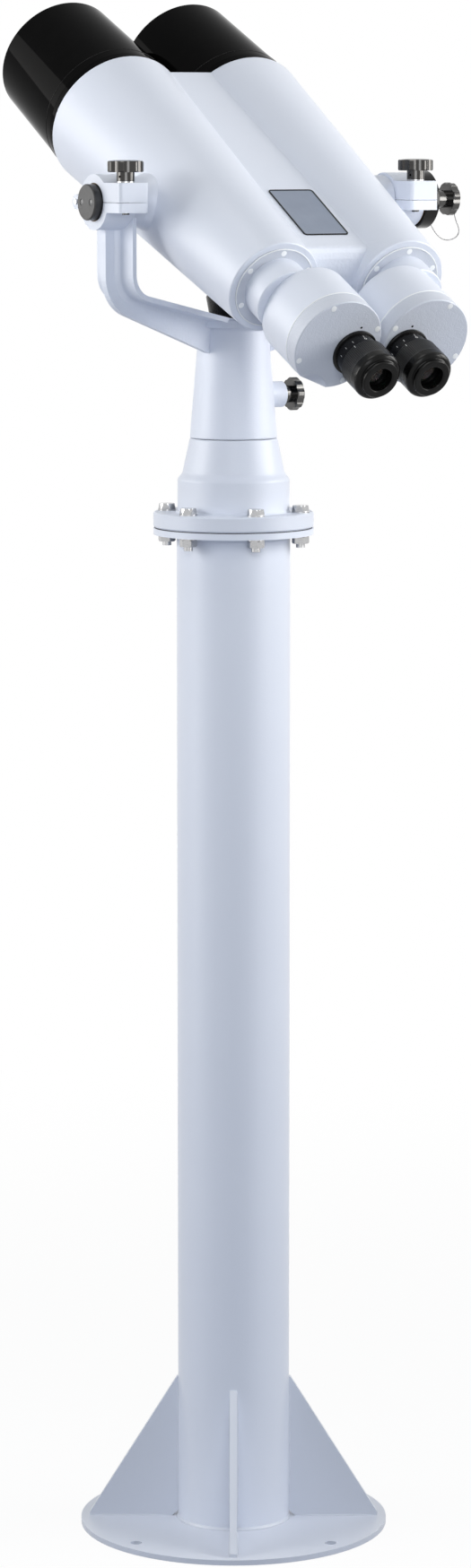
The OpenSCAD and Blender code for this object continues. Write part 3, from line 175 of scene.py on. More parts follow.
def skin(rings, closed=False):
    """Joins equal rings of points; the last meets the first, or else both ends are capped."""
    count, sides = len(rings), len(rings[0])
    faces = []
    for i in range(count if closed else count - 1):
        j = (i + 1) % count
        for k in range(sides):
            m = (k + 1) % sides
            faces.append((i * sides + k, i * sides + m, j * sides + m, j * sides + k))
    if not closed:
        faces.append(tuple(range(sides - 1, -1, -1)))
        faces.append(tuple(range((count - 1) * sides, count * sides)))
    return [point for ring in rings for point in ring], faces


def add_mesh(name, verts, faces, smooth=True):
    mesh = bpy.data.meshes.new(name)
    mesh.from_pydata([tuple(v) for v in verts], [], faces)
    mesh.update()
    mesh.polygons.foreach_set("use_smooth", [smooth] * len(mesh.polygons))
    piece = bpy.data.objects.new(name, mesh)
    bpy.context.scene.collection.objects.link(piece)
    return piece


print("mesh makers ready")

# %% Lanyard


def tube_along(name, path, radius, sides=12):
    """A round tube swept along points that lie in an upright plane across Y."""
    rings = []
    over = Vector((0, 1, 0))
    for i, p in enumerate(path):
        along = (path[min(i + 1, len(path) - 1)] - path[max(i - 1, 0)]).normalized()
        out = along.cross(over).normalized()
        angles = [2 * math.pi * k / sides for k in range(sides)]
        rings.append([p + out * radius * math.cos(a) + over * radius * math.sin(a)
                      for a in angles])
    return add_mesh(name, *skin(rings))


lanyard = tube_along("lanyard_wire", lanyard_path, LANYARD_D / 2)
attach(lanyard, "tilt_lock")
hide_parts("lock_lanyard")
print("lanyard faces:", len(lanyard.data.polygons))

# %% [markdown]
# ## Writing shaders as sums
# A material is easier to read as arithmetic than as a web of boxes. The class below wraps a
# socket, so that `1 - mask * 0.3` adds the Math nodes by itself. Every other node comes from
# one method, which sets the node's own settings first and its sockets after.

# %% Wires


class Wire:
    """A node's output that can be added, subtracted and multiplied."""

    def __init__(self, tree, socket):
        self.tree, self.socket = tree, socket

    def math_node(self, operation, *values):
        node = self.tree.nodes.new("ShaderNodeMath")
        node.operation = operation
        for socket, value in zip(node.inputs, values):
            fill(self.tree, socket, value)
        return Wire(self.tree, node.outputs[0])

    def __add__(self, other):
        return self.math_node("ADD", self, other)

    def __radd__(self, other):
        return self.math_node("ADD", other, self)

    def __sub__(self, other):
        return self.math_node("SUBTRACT", self, other)

    def __rsub__(self, other):
        return self.math_node("SUBTRACT", other, self)

    def __mul__(self, other):
        return self.math_node("MULTIPLY", self, other)

    def __rmul__(self, other):
        return self.math_node("MULTIPLY", other, self)

    def __abs__(self):
        return self.math_node("ABSOLUTE", self)


def fill(tree, socket, value):
    """Links a wire to a socket, or writes a plain value into it."""
    if isinstance(value, Wire):
        tree.links.new(value.socket, socket)
    elif isinstance(value, tuple) and len(value) == 3 and socket.type == "RGBA":
        socket.default_value = (*value, 1.0)
    else:
        socket.default_value = value


print("wires ready")

# %% Node trees
RAYS_THAT_SEE = ("Is Camera Ray", "Is Glossy Ray", "Is Transmission Ray")


class Nodes:
    """A node tree. One method makes any node, and the others only call it."""

    def __init__(self, tree):
        self.tree = tree

    def add(self, kind, settings=None, values=None, out=0):
        """Any node: its settings first, then its sockets by name or number."""
        node = self.tree.nodes.new(kind)
        for key, value in (settings or {}).items():
            setattr(node, key, value)
        for key, value in (values or {}).items():
            fill(self.tree, node.inputs[key], value)
        if isinstance(out, tuple):
            return [Wire(self.tree, node.outputs[key]) for key in out]
        return Wire(self.tree, node.outputs[out])

    def seen(self):
        """1 for the camera, in reflections and through glass, and 0 for light that falls."""
        camera_ray, glossy_ray, glass_ray = self.add("ShaderNodeLightPath", out=RAYS_THAT_SEE)
        return camera_ray + glossy_ray + glass_ray

    def show(self, output, factor, first, second):
        """Sends a mix of two shaders to the tree's output node."""
        blend = self.add("ShaderNodeMixShader", values={0: factor, 1: first, 2: second})
        fill(self.tree, self.tree.nodes[output].inputs["Surface"], blend)


print("node trees ready")

# %% Finishes
# A Mix node has its own sockets for each kind of value, and these are the numbers of the colours
MIX_FIRST, MIX_SECOND, MIX_COLOUR = 6, 7, 2


class Finish(Nodes):
    """One material, with a Principled shader whose sockets take numbers or wires."""

    def __init__(self, name, **sockets):
        self.material = bpy.data.materials.new(name)
        self.material.use_nodes = True
        super().__init__(self.material.node_tree)
        self.shader = self.tree.nodes["Principled BSDF"]
        self.set(**sockets)

    def set(self, **sockets):
        for key, value in sockets.items():
            fill(self.tree, self.shader.inputs[key.replace("_", " ")], value)

    def here(self):
        """The piece's own coordinates, in metres."""
        return self.add("ShaderNodeTexCoord", out="Object")

    def axes(self):
        """The piece's own X, Y and Z as three wires."""
        return self.add("ShaderNodeSeparateXYZ", values={0: self.here()}, out=(0, 1, 2))

    def noise(self, scale, detail=2.0, roughness=0.5, at=None):
        return self.add("ShaderNodeTexNoise", values={
            "Vector": at or self.here(), "Scale": scale, "Detail": detail,
            "Roughness": roughness})

    def stretched(self, x, y, z):
        """Coordinates squeezed along the axes, for brushed or turned metal."""
        return self.add("ShaderNodeMapping", {"vector_type": "POINT"},
                        {"Vector": self.here(), "Scale": (x, y, z)})

    def vector(self, operation, first, second=(0, 0, 0), out=0):
        return self.add("ShaderNodeVectorMath", {"operation": operation},
                        {0: first, 1: second}, out)

    def step(self, value, low, high):
        """A soft step from 0 to 1 as the value goes from low to high."""
        return self.add("ShaderNodeMapRange", {"interpolation_type": "SMOOTHSTEP"},
                        {"Value": value, "From Min": low, "From Max": high})

    def colour(self, factor, first, second):
        """Base colour that goes from the first to the second."""
        self.set(Base_Color=self.add("ShaderNodeMix", {"data_type": "RGBA"}, {
            0: factor, MIX_FIRST: first, MIX_SECOND: second}, out=MIX_COLOUR))

    def bump(self, height, strength, distance):
        self.set(Normal=self.add("ShaderNodeBump", values={
            "Strength": strength, "Distance": distance, "Height": height}))


print("finishes ready")

# %% [markdown]
# ## White textured paint
# The castings and the pillar are sprayed with a cool white enamel. Up close it has a fine
# pebbled skin, like orange peel, that is coarser on faces left as cast. Real bumps that small
# would need millions of faces, so two sizes of noise feed a Bump node instead, and a third
# one, very faint, keeps the colour from being dead flat.

# %% Paint
PAINT = (0.765, 0.800, 0.880)
PAINT_SHADE = (0.715, 0.752, 0.845)
CAST_GRAIN, CAST_HEIGHT = 260.0, 6.0


def enamel(name, peel, grain, depth, rough, painted_light_level, zone=None):
    """White paint; zone, if given, returns where the casting under it was left coarse."""
    paint = Finish(name)
    fine = paint.noise(peel, 3.0)
    coarse = paint.noise(grain)
    drift = paint.noise(7.0)
    # Both colours are scaled lighter or darker for each part: painted light and painted shade
    paint.colour(drift * 0.6 + fine * 0.25, tuple(c * painted_light_level for c in PAINT),
                 tuple(c * painted_light_level for c in PAINT_SHADE))
    paint.set(Roughness=rough + (fine - 0.5) * 0.12)
    height = fine * 0.7 + coarse * 0.5
    if zone:
        height = height + zone(paint) * (paint.noise(CAST_GRAIN, 3.0, 0.6) * CAST_HEIGHT)
    paint.bump(height, strength=0.5, distance=depth)
    return paint


print("enamel ready")

# %% Coarse zones
ARM_BEND_ENDS = (1.412, 1.402)
ARM_SIDE_ENDS = (0.058, 0.072)
BRIDGE_REAR_ENDS = (-0.160, -0.172)
BRIDGE_SIDE_ENDS = (0.060, 0.045)


def lower_web(paint):
    """The outer part of the fork's arms, below their bend."""
    x, _, z = paint.axes()
    return paint.step(z, *ARM_BEND_ENDS) * paint.step(abs(x), *ARM_SIDE_ENDS)


def bridge_back(paint):
    """The bridge's rear slope, measured along the tilted tubes."""
    x, y, z = paint.axes()
    along = (y - TRUNNION.y) * math.cos(TILT) + (z - TRUNNION.z) * math.sin(TILT)
    return paint.step(along, *BRIDGE_REAR_ENDS) * paint.step(abs(x), *BRIDGE_SIDE_ENDS)


print("coarse zones: arms and bridge")

# %% White paints
# The last number of each paint is painted light and shade: it makes the ring, the prism caps and
# the foot darker than the same white, and the pillar and the fork lighter.
casting_paint = enamel("casting_paint", peel=900.0, grain=320.0, depth=0.00026, rough=0.38,
                       painted_light_level=1.02)
fork_paint = enamel("fork_paint", peel=800.0, grain=300.0, depth=0.00034, rough=0.40,
                    painted_light_level=1.08, zone=lower_web)
body_paint = enamel("body_paint", peel=900.0, grain=320.0, depth=0.00024, rough=0.38,
                    painted_light_level=1.0, zone=bridge_back)
rough_paint = enamel("rough_casting_paint", peel=620.0, grain=240.0, depth=0.00095, rough=0.48,
                     painted_light_level=0.85)
ring_paint = enamel("ring_paint", peel=700.0, grain=280.0, depth=0.00045, rough=0.46,
                    painted_light_level=0.80)
head_paint = enamel("head_paint", peel=900.0, grain=320.0, depth=0.00028, rough=0.40,
                    painted_light_level=1.02)
pillar_paint = enamel("pillar_paint", peel=700.0, grain=160.0, depth=0.00018, rough=0.32,
                      painted_light_level=1.08)
foot_paint = enamel("foot_paint", peel=700.0, grain=160.0, depth=0.00018, rough=0.34,
                    painted_light_level=0.95)
white_paints = [m.name for m in bpy.data.materials if m.name.endswith("_paint")]
print("white paints:", len(white_paints))

# %% [markdown]
# ## Blacks
# The hoods are lacquered until they mirror the studio lamps, while the eyepieces are satin
# anodised and the eyecups are rubber. Black alone would look the same on all of them, so each
# has its own grain and roughness. The crests of the focusing rings carry a painted highlight,
# paler than their grooves: the shader measures how far each point lies from the eyepiece's axis.

# %% Blacks
lacquer = Finish("hood_lacquer", Specular_IOR_Level=0.015)
speckle = lacquer.noise(60.0)
lacquer.colour(speckle, (0.0012, 0.0012, 0.0013), (0.0030, 0.0029, 0.0029))
lacquer.set(Roughness=0.03 + speckle * 0.02)
lacquer.bump(lacquer.noise(110.0, 1.0), strength=0.08, distance=0.00003)

anodised = Finish("satin_anodised", Specular_IOR_Level=0.18)
matt_grain = anodised.noise(1400.0)
anodised.colour(matt_grain, (0.002, 0.002, 0.0022), (0.006, 0.006, 0.0063))
anodised.set(Roughness=0.22 + matt_grain * 0.10)
anodised.bump(matt_grain, strength=0.2, distance=0.00002)

rubber = Finish("eyecup_rubber", Specular_IOR_Level=0.16)
rubber_grain = rubber.noise(1100.0, 3.0)
rubber.colour(rubber_grain, (0.0015, 0.0015, 0.0015), (0.005, 0.005, 0.005))
rubber.set(Roughness=0.17 + rubber_grain * 0.10)
rubber.bump(rubber_grain, strength=0.2, distance=0.00003)

flock = Finish("hood_flocking", Specular_IOR_Level=0.1)
nap = flock.noise(1800.0, 3.0)
flock.colour(nap, (0.004, 0.004, 0.004), (0.014, 0.014, 0.014))
flock.set(Roughness=0.85 + nap * 0.1)
flock.bump(nap, strength=0.6, distance=0.0002)
print("blacks ready")

# %% Ribbed focusing rings
RIB_GROOVE_R, RIB_CREST_R = 0.0264, 0.0268

ribbed = Finish("ribbed_black", Specular_IOR_Level=0.22)
x, y, z = ribbed.axes()
# Both rings share the finish, so a point on the left is measured where its mirror image lies
mirrored = ribbed.add("ShaderNodeCombineXYZ", values={0: abs(x), 1: y, 2: z})
from_eye = ribbed.vector("SUBTRACT", mirrored, tuple(right_eye))
off_axis = ribbed.vector("CROSS_PRODUCT", from_eye, tuple(BARREL_AXIS))
crest = ribbed.step(ribbed.vector("LENGTH", off_axis, out="Value"), RIB_GROOVE_R, RIB_CREST_R)
# The paler crests are a painted highlight, as if the ribs caught the lamps
ribbed.colour(crest * (0.7 + ribbed.noise(1500.0) * 0.3),
              (0.0015, 0.0015, 0.0016), (0.034, 0.034, 0.035))
ribbed.set(Roughness=0.42 - crest * 0.14)
print("ribbed black ready")

# %% [markdown]
# ## Metals
# Knobs are turned steel with a dark chrome plating, and the bolts are plain stainless. Rings
# cut by the lathe are too fine to model, so noise stretched round the turning axis stands for
# them, in the colour, the roughness and a very small bump.

# %% Metals


def turned_metal(name, low, high, rough, squeeze):
    metal = Finish(name, Metallic=1.0)
    marks = metal.noise(30.0, 3.0, 0.6, at=metal.stretched(*squeeze))
    cloud = metal.noise(45.0)
    metal.colour(marks * 0.6 + cloud * 0.4, low, high)
    metal.set(Roughness=rough + (marks - 0.5) * 0.08)
    metal.bump(marks, strength=0.12, distance=0.00002)
    return metal


knob_chrome = turned_metal("knob_chrome", (0.040, 0.039, 0.038), (0.080, 0.078, 0.076),
                           rough=0.10, squeeze=(4, 4, 90))
lock_chrome = turned_metal("lock_chrome", (0.060, 0.059, 0.058), (0.130, 0.128, 0.126),
                           rough=0.16, squeeze=(90, 4, 4))
disc_black = turned_metal("disc_black", (0.020, 0.020, 0.020), (0.036, 0.036, 0.036),
                          rough=0.20, squeeze=(90, 4, 4))
end_black = turned_metal("trunnion_black", (0.030, 0.030, 0.031), (0.085, 0.085, 0.086),
                         rough=0.34, squeeze=(90, 9, 9))
stainless = turned_metal("stainless", (0.34, 0.345, 0.355), (0.62, 0.62, 0.625),
                         rough=0.22, squeeze=(8, 8, 50))
wire_steel = turned_metal("wire_steel", (0.12, 0.12, 0.125), (0.30, 0.30, 0.305),
                          rough=0.24, squeeze=(60, 60, 60))
plate_metal = turned_metal("plate_metal", (0.20, 0.235, 0.30), (0.30, 0.34, 0.42),
                           rough=0.38, squeeze=(80, 3, 3))
bronze = turned_metal("oiled_bronze", (0.040, 0.030, 0.022), (0.085, 0.062, 0.042),
                      rough=0.34, squeeze=(60, 4, 4))
print("metals ready")

# %% [markdown]
# ## Glass and small finishes
# The lenses carry a thin coating that tints their reflections, and the shader's own thin film
# gives just that. The gasket, the filler and the paint of the marks are dull and nearly even,
# so a faint noise in their colour is enough.

# %% Glass and small finishes
coating = Finish("coated_glass", Base_Color=(0.55, 0.72, 0.68), Roughness=0.02, IOR=1.52,
                 Transmission_Weight=0.92, Thin_Film_Thickness=420.0, Thin_Film_IOR=1.38)

gasket = Finish("gasket_sheet", Roughness=0.7)
gasket.colour(gasket.noise(500.0), (0.010, 0.010, 0.012), (0.035, 0.035, 0.040))

fibre = Finish("friction_fibre", Roughness=0.8)
fibre.colour(fibre.noise(900.0, 4.0), (0.10, 0.06, 0.03), (0.22, 0.13, 0.07))

sealant = Finish("plug_white", Roughness=0.34)
sealant.colour(sealant.noise(400.0), (0.92, 0.94, 0.95), (0.96, 0.97, 0.97))

mark_paint = Finish("mark_paint", Roughness=0.5)
mark_paint.colour(mark_paint.noise(900.0), (0.60, 0.60, 0.58), (0.75, 0.75, 0.73))

hole_grey = Finish("hole_grey", Roughness=0.45, Metallic=0.3)
hole_grey.colour(hole_grey.noise(900.0), (0.13, 0.13, 0.132), (0.19, 0.19, 0.192))

# The cap seams are filled, and the pale colour there and on the ring lips is a painted highlight
# along their edges
seam_filler = Finish("seam_filler", Roughness=0.4)
seam_filler.colour(seam_filler.noise(700.0), (0.90, 0.92, 0.93), (0.96, 0.97, 0.97))
print("glass and small finishes ready")

# %% [markdown]
# ## Dressing the CAD nodes
# Each CAD node keeps its own shape and only receives a finish. A table from finish to nodes
# is easier to check than sixty separate lines.

# %% Finishes of the CAD nodes


def both(*names):
    """The left and the right node of each name."""
    return [f"{name}_{side}" for name in names for side in SIDES]


FINISH_OF = {
    pillar_paint: ["pillar_tube", "pillar_flange"],
    foot_paint: ["base_plate", "gussets"],
    fork_paint: ["fork"],
    body_paint: ["body_casting"],
    head_paint: ["pedestal_head"],
    ring_paint: ["retaining_rings"],
    casting_paint: both("clamp_cap", "prism_housing"),
    rough_paint: both("prism_cap"),
    sealant: ["retaining_screws"] + both("cap_screws"),
    stainless: ["flange_bolts", "flange_washers", "flange_nuts", "azimuth_spindle",
                "lower_bearing", "upper_bearing", "spindle_nut", "clamp_hinge_pins",
                "azimuth_brake_pad"] + both("clamp_washer"),
    wire_steel: ["lanyard_swivel", "lock_lanyard"],
    knob_chrome: both("clamp_screw"),
    lock_chrome: ["azimuth_lock_knob", "tilt_lock_knob"],
    disc_black: ["brake_disc", "trunnion_right"],
    end_black: ["trunnion_left"],
    lacquer: ["objective_cells"] + both("hood"),
    anodised: ["hub_cap"] + both("eyepiece_base", "eyepiece_cell"),
    ribbed: both("focus_ring"),
    rubber: ["dust_seal"] + both("eyecup"),
    flock: ["barrel_baffles"],
    gasket: ["flange_gasket"],
    fibre: ["friction_washer"],
    bronze: ["trunnion_bushes"],
    plate_metal: ["nameplate"],
    coating: ["objective_lenses"] + both("prisms", "eye_lens"),
}
dressed = set()
for finish, names in FINISH_OF.items():
    for name in names:
        mesh = NODES[name].data
        mesh.materials.clear()
        mesh.materials.append(finish.material)
        dressed.add(name)
lanyard.data.materials.append(wire_steel.material)
print("dressed nodes:", len(dressed), "left:", sorted(set(NODES) - dressed))

# %% [markdown]
# ## Shapes for the small pieces
# Most small pieces are turned or run along a line. Ready-made cylinders would show as plain
# stand-ins, so one function spins a drawn outline round an axis, and another lays a rippled
# bead between two points. Both clean their mesh in the same way.

# %% Turned pieces
# Points this close, in metres, are one point, and an edge this short is no edge
SAME_POINT, NO_LENGTH = 1e-6, 1e-7


def seated(piece, body, finish):
    """Cleans the mesh, gives it its finish and makes it ride."""
    made = bmesh.new()
    made.from_mesh(piece.data)
    bmesh.ops.remove_doubles(made, verts=made.verts, dist=SAME_POINT)
    bmesh.ops.dissolve_degenerate(made, edges=made.edges, dist=NO_LENGTH)
    bmesh.ops.recalc_face_normals(made, faces=made.faces)
    made.to_mesh(piece.data)
    made.free()
    piece.data.materials.append(finish.material)
    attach(piece, body)
    return piece


def turned(name, outline, place, body, finish, steps=64):
    """Spins (radius, height) points, in mm, round the local Z axis."""
    angles = [2 * math.pi * i / steps for i in range(steps)]
    rings = [[place @ (Vector((r * math.cos(a), r * math.sin(a), h)) * MM) for r, h in outline]
             for a in angles]
    return seated(add_mesh(name, *skin(rings, closed=True)), body, finish)


print("turned pieces ready")

# %% Beads
BEAD_SIDES, BEAD_STEPS = 10, 60
RIPPLE, RIPPLES_PER_MM = 0.10, 2.1
TIP, TAPER = 0.35, 4


def bead(name, start, stop, size, place, body, finish, seed):
    """A weld bead between two points in mm, with the ripples that each pass leaves."""
    a, b = (place @ (Vector(point) * MM) for point in (start, stop))
    along = (b - a).normalized()
    side = along.orthogonal().normalized()
    other = along.cross(side)
    rings = []
    for i in range(BEAD_STEPS + 1):
        t = i / BEAD_STEPS
        ripple = 1 + RIPPLE * math.sin(t * (b - a).length / MM * RIPPLES_PER_MM + seed)
        r = size * MM * ripple * min(1, TIP + TAPER * t, TIP + TAPER * (1 - t))
        angles = [2 * math.pi * k / BEAD_SIDES for k in range(BEAD_SIDES)]
        rings.append([a + (b - a) * t + side * r * math.cos(w) + other * r * math.sin(w)
                      for w in angles])
    return seated(add_mesh(name, *skin(rings)), body, finish)


print("beads ready")

# %% [markdown]
# ## Weld beads of the pillar
# The tube, its foot plate and the four gussets are welded and then painted over. A bead shows
# as a soft swelling in each inner corner, with faint ripples along it. The round welds are
# turned and the straight ones are beads, because a lathe shape can't follow a gusset.

# %% Round welds
BASE_YAW = -31
TUBE_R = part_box("pillar_tube")[1][0] / MM
PLATE_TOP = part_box("base_plate")[1][2] / MM
FLANGE_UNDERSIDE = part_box("pillar_flange")[0][2] / MM
base_place = turn("Z", BASE_YAW)
FOOT_FILLET = [(-1, -0.5), (2.8, -0.2), (2.0, 0.9), (1.0, 1.9), (-0.1, 3.2), (-1, 3.2)]
NECK_FILLET = [(-1, 0.4), (4, 0.2), (2.6, -1.4), (1.2, -2.8), (-0.1, -5), (-1, -5)]
for name, corner, fillet, paint in (("weld_foot", PLATE_TOP, FOOT_FILLET, foot_paint),
                                    ("weld_flange", FLANGE_UNDERSIDE, NECK_FILLET, pillar_paint)):
    outline = [(TUBE_R + out, corner + up) for out, up in fillet]
    turned(name, outline, base_place, "base", paint, steps=128)
print("round welds: 2, on a tube of radius", round(TUBE_R, 1), "mm")

# %% Gusset welds
GUSSET_HALF = 4.0
GUSSET_LOW, GUSSET_TOP = 16, 168
GUSSET_NEAR, GUSSET_FAR = TUBE_R + 9, 164
WELD_R = 1.5
welds = 0
for quarter in range(4):
    gusset_place = base_place @ turn("Z", 90 * quarter)
    for letter, flank in (("a", -1), ("b", 1)):
        y = flank * GUSSET_HALF
        for label, start, stop in (
                ("tube", (TUBE_R, y, GUSSET_LOW), (TUBE_R, y, GUSSET_TOP)),
                ("plate", (GUSSET_NEAR, y, PLATE_TOP), (GUSSET_FAR, y, PLATE_TOP))):
            bead(f"weld_{label}_{quarter}_{letter}", start, stop, WELD_R, gusset_place, "base",
                 foot_paint, seed=quarter * 1.7 + flank)
            welds += 1
print("gusset welds:", welds)

# %% [markdown]
# ## Scale marks and index dots
# Each eyepiece has a fixed scale: short white strokes round the barrel and a small ring for
# zero, with a dot on the cap above it. Printed marks would need a picture, so the strokes are
# thin plates that follow the round. They ride with the prism housing, because the scale
# doesn't turn, and one more stroke rides with the focusing ring.

# %% Curved strokes
MARK_RISE, MARK_SINK = 0.12, 0.15


def stroke(name, place, radius, height, middle, across, along, body):
    """A curved patch of paint on a round barrel; sizes in mm, middle in degrees."""
    cells, verts, faces = 6, [], []
    half = math.degrees(across / 2 / radius)
    for r in (radius - MARK_SINK, radius + MARK_RISE):
        for h in (height - along / 2, height + along / 2):
            for i in range(cells + 1):
                a = math.radians(middle - half + 2 * half * i / cells)
                verts.append(place @ (Vector((r * math.cos(a), r * math.sin(a), h)) * MM))
    row = cells + 1
    for i in range(cells):
        faces += [(2 * row + i, 2 * row + i + 1, 3 * row + i + 1, 3 * row + i),
                  (i, row + i, row + i + 1, i + 1),
                  (i, i + 1, 2 * row + i + 1, 2 * row + i),
                  (row + i, 3 * row + i, 3 * row + i + 1, row + i + 1)]
    for i in (0, cells):
        faces.append((i, 2 * row + i, 3 * row + i, row + i))
    return seated(add_mesh(name, verts, faces), body, mark_paint)


print("stroke maker ready")

# %% Scale marks
SCALE_R, RING_R = 23.4, 26.8
STROKE_V, ZERO_V, CIRCLE_V, RING_MARK_V = -308.6, -305.6, -309.8, -319.6
STROKE_TURNS = (-84, -60, -36, 36, 60, 84)
RING_MARK_TURN = -42
# The turn, in the eyepiece's own frame, that points up the binocular's back
UP_TURN = 90 + HOUSING_TURN
circle = [(1.0, -0.2), (1.5, -0.2), (1.5, MARK_RISE), (1.0, MARK_RISE)]
for word, side in SIDES.items():
    place = eyepiece_place(side)
    housing_body = f"prism_{word}"
    up = side * UP_TURN
    for i, step in enumerate(STROKE_TURNS):
        stroke(f"scale_stroke_{word}_{i}", place, SCALE_R, STROKE_V, up + step,
               across=0.55, along=3.0, body=housing_body)
    stroke(f"scale_zero_{word}", place, SCALE_R, ZERO_V, up,
           across=0.6, along=3.6, body=housing_body)
    zero = place @ turn("Z", up) @ shift(SCALE_R, 0, CIRCLE_V) @ ALONG_X
    turned(f"scale_circle_{word}", circle, zero, housing_body, mark_paint,
           steps=24)
    stroke(f"ring_mark_{word}", place, RING_R, RING_MARK_V, up + RING_MARK_TURN,
           across=0.55, along=3.4, body=f"focus_{word}")
print("scale marks made on both eyepieces")

# %% [markdown]
# ## Seams, lips, plugs and dots
# A pale line of filler shows where each cap meets its prism housing, and the retaining rings
# have a thin lip. Both are paler than the paint round them as a painted highlight on their
# edges. White filler covers the screws, and a black dot on each cap marks where the eyepiece
# scale is read. All of these stand a little proud, so they are turned pieces and not a painted
# line, which would have no edge to catch the light.

# %% Caps of the prism housings
CAP_OUT = 26.497
CAP_SEAM_V, CAP_FACE_V = -278, -297.5
CAP_SCREW_R = 47
DOT_OUT = 29.5
PLUG = [(0, 0.3), (3.25, 0.3), (3.25, -0.03), (3.0, -0.09), (0, -0.12)]
GROOVE = [(50.7, -1.1), (51.64, -0.95), (51.64, 0.95), (50.7, 1.1)]
SEAM = [(51.3, -0.6), (51.8, -0.55), (51.95, -0.2), (51.95, 0.2), (51.8, 0.55), (51.3, 0.6)]
DOT = [(0, -0.12), (1.25, -0.12), (1.45, 0.2), (0, 0.2)]
for word, side in SIDES.items():
    housing_body = f"prism_{word}"
    cap = housing_place(side) @ shift(CAP_OUT) @ ALONG_TUBE
    seam_place = cap @ shift(0, 0, CAP_SEAM_V)
    turned(f"cap_groove_{word}", GROOVE, seam_place, housing_body, head_paint,
           steps=160)
    turned(f"cap_seam_{word}", SEAM, seam_place, housing_body, seam_filler,
           steps=160)
    for quarter in range(4):
        plug_place = cap @ turn("Z", 45 + 90 * quarter) @ shift(CAP_SCREW_R, 0, CAP_FACE_V)
        turned(f"cap_plug_{word}_{quarter}", PLUG, plug_place, housing_body, sealant,
               steps=32)
    angle = math.radians(side * UP_TURN)
    dot_place = eyepiece_place(side) @ shift(DOT_OUT * math.cos(angle),
                                             DOT_OUT * math.sin(angle), CAP_FACE_V)
    turned(f"index_dot_{word}", DOT, dot_place, housing_body, lacquer, steps=24)
print("caps: grooves, seams, plugs and dots made")

# %% Retaining rings and hood roots
RING_FACE_V, RING_SCREW_R = -192.4, 41.1
HOOD_LINE_V = 212
LIP = [(45.4, -0.1), (45.7, -0.4), (46.3, -0.3), (46.6, 0.3), (46.3, 1.0), (45.2, 0.6)]
HOOD_LINE = [(77.2, -0.4), (77.35, -0.1), (77.2, 0.2), (76.6, 0)]
for word, side in SIDES.items():
    barrel = barrel_place(side) @ ALONG_TUBE
    turned(f"ring_lip_{word}", LIP, barrel @ shift(0, 0, RING_FACE_V), "binocular",
           seam_filler, steps=128)
    for sixth in range(6):
        plug_place = barrel @ turn("Z", 30 + 60 * sixth) @ shift(RING_SCREW_R, 0, RING_FACE_V)
        turned(f"ring_plug_{word}_{sixth}", PLUG, plug_place, "binocular", sealant,
               steps=32)
    turned(f"hood_line_{word}", HOOD_LINE, barrel @ shift(0, 0, HOOD_LINE_V), "binocular",
           anodised, steps=160)
print("rings: lips and plugs made, hoods lined at their roots")

# %% [markdown]
# ## The plate's border
# The plate on the bridge has a dark border that stands a little proud of it. A bevelled box
# with a hole would do, but a frame with rounded corners is only four loops of points, outer
# and inner, low and high, so it is drawn as these.

# %% Plate border
PLATE_SPOT = (0, -103, 40.83)
PLATE_LEAN = 3.75
PLATE_WIDTH, PLATE_LENGTH = 56.2, 90.2
PLATE_CORNER, PLATE_RIM = 4.1, 1.5
BORDER_LOW, BORDER_HIGH = 0.2, 1.18
CORNER_STEPS = 8


def corner_loop(inset, height, place):
    """A loop round the plate, this far inside its edge."""
    radius = PLATE_CORNER - inset
    loop = []
    for k, (sx, sy) in enumerate(((1, 1), (-1, 1), (-1, -1), (1, -1))):
        for i in range(CORNER_STEPS + 1):
            a = math.radians(90 * k + 90 * i / CORNER_STEPS)
            point = Vector((sx * (PLATE_WIDTH / 2 - PLATE_CORNER) + radius * math.cos(a),
                            sy * (PLATE_LENGTH / 2 - PLATE_CORNER) + radius * math.sin(a), height))
            loop.append(place @ (point * MM))
    return loop


plate_place = tube_place @ shift(*PLATE_SPOT) @ turn("X", PLATE_LEAN)
border = [corner_loop(inset, height, plate_place)
          for inset, height in ((0, BORDER_LOW), (0, BORDER_HIGH), (PLATE_RIM, BORDER_HIGH),
                                (PLATE_RIM, BORDER_LOW))]
seated(add_mesh("plate_border", *skin(border, closed=True), smooth=False), "binocular",
       anodised)
print("plate border made")

# %% [markdown]
# ## Spanner holes and hood linings
# The left trunnion is turned in with a pin spanner, and the bottoms of its two holes catch the
# light. Each hood is lined with matt flock, so that no light from the side reaches the lens.
# The lining has real ribs, because they show as rings when one looks into the hood.

# %% Spanner holes
TRUNNION_FACE_X = -211
HOLE_OUT = 10
HOLE_FLOOR = [(0, 0.3), (3.42, 0.3), (3.42, -1.0), (3.25, -1.15), (0, -1.15)]
for label, y in (("near", -HOLE_OUT), ("far", HOLE_OUT)):
    hole = Matrix.Translation(TRUNNION) @ shift(TRUNNION_FACE_X, y) @ ALONG_X
    turned(f"spanner_hole_{label}", HOLE_FLOOR, hole, "binocular", hole_grey,
           steps=40)
print("spanner holes: 2")

# %% Hood linings
HOOD_ROOT_R, HOOD_MOUTH_R = 75.1, 69.5
HOOD_ROOT_V, HOOD_MOUTH_V = 200.0, 338.6
LINING_START, RIB_PITCH, RIBS = 217, 4, 30
LINING_END = LINING_START + RIB_PITCH * RIBS


def hood_wall(v):
    """The hood's inner radius at this distance along the barrel."""
    slope = (HOOD_MOUTH_R - HOOD_ROOT_R) / (HOOD_MOUTH_V - HOOD_ROOT_V)
    return HOOD_ROOT_R + (v - HOOD_ROOT_V) * slope


lining = []
for v in range(LINING_START, LINING_END, RIB_PITCH):
    wall = hood_wall(v)
    lining += [(wall - 0.9, v), (wall - 0.35, v + 0.9), (wall - 0.35, v + 3.1)]
lining += [(hood_wall(v) - 0.05, v) for v in (LINING_END, LINING_START)]
for word, side in SIDES.items():
    turned(f"hood_lining_{word}", lining, barrel_place(side) @ ALONG_TUBE, "binocular", flock,
           steps=96)
print("ribs in each hood:", RIBS)

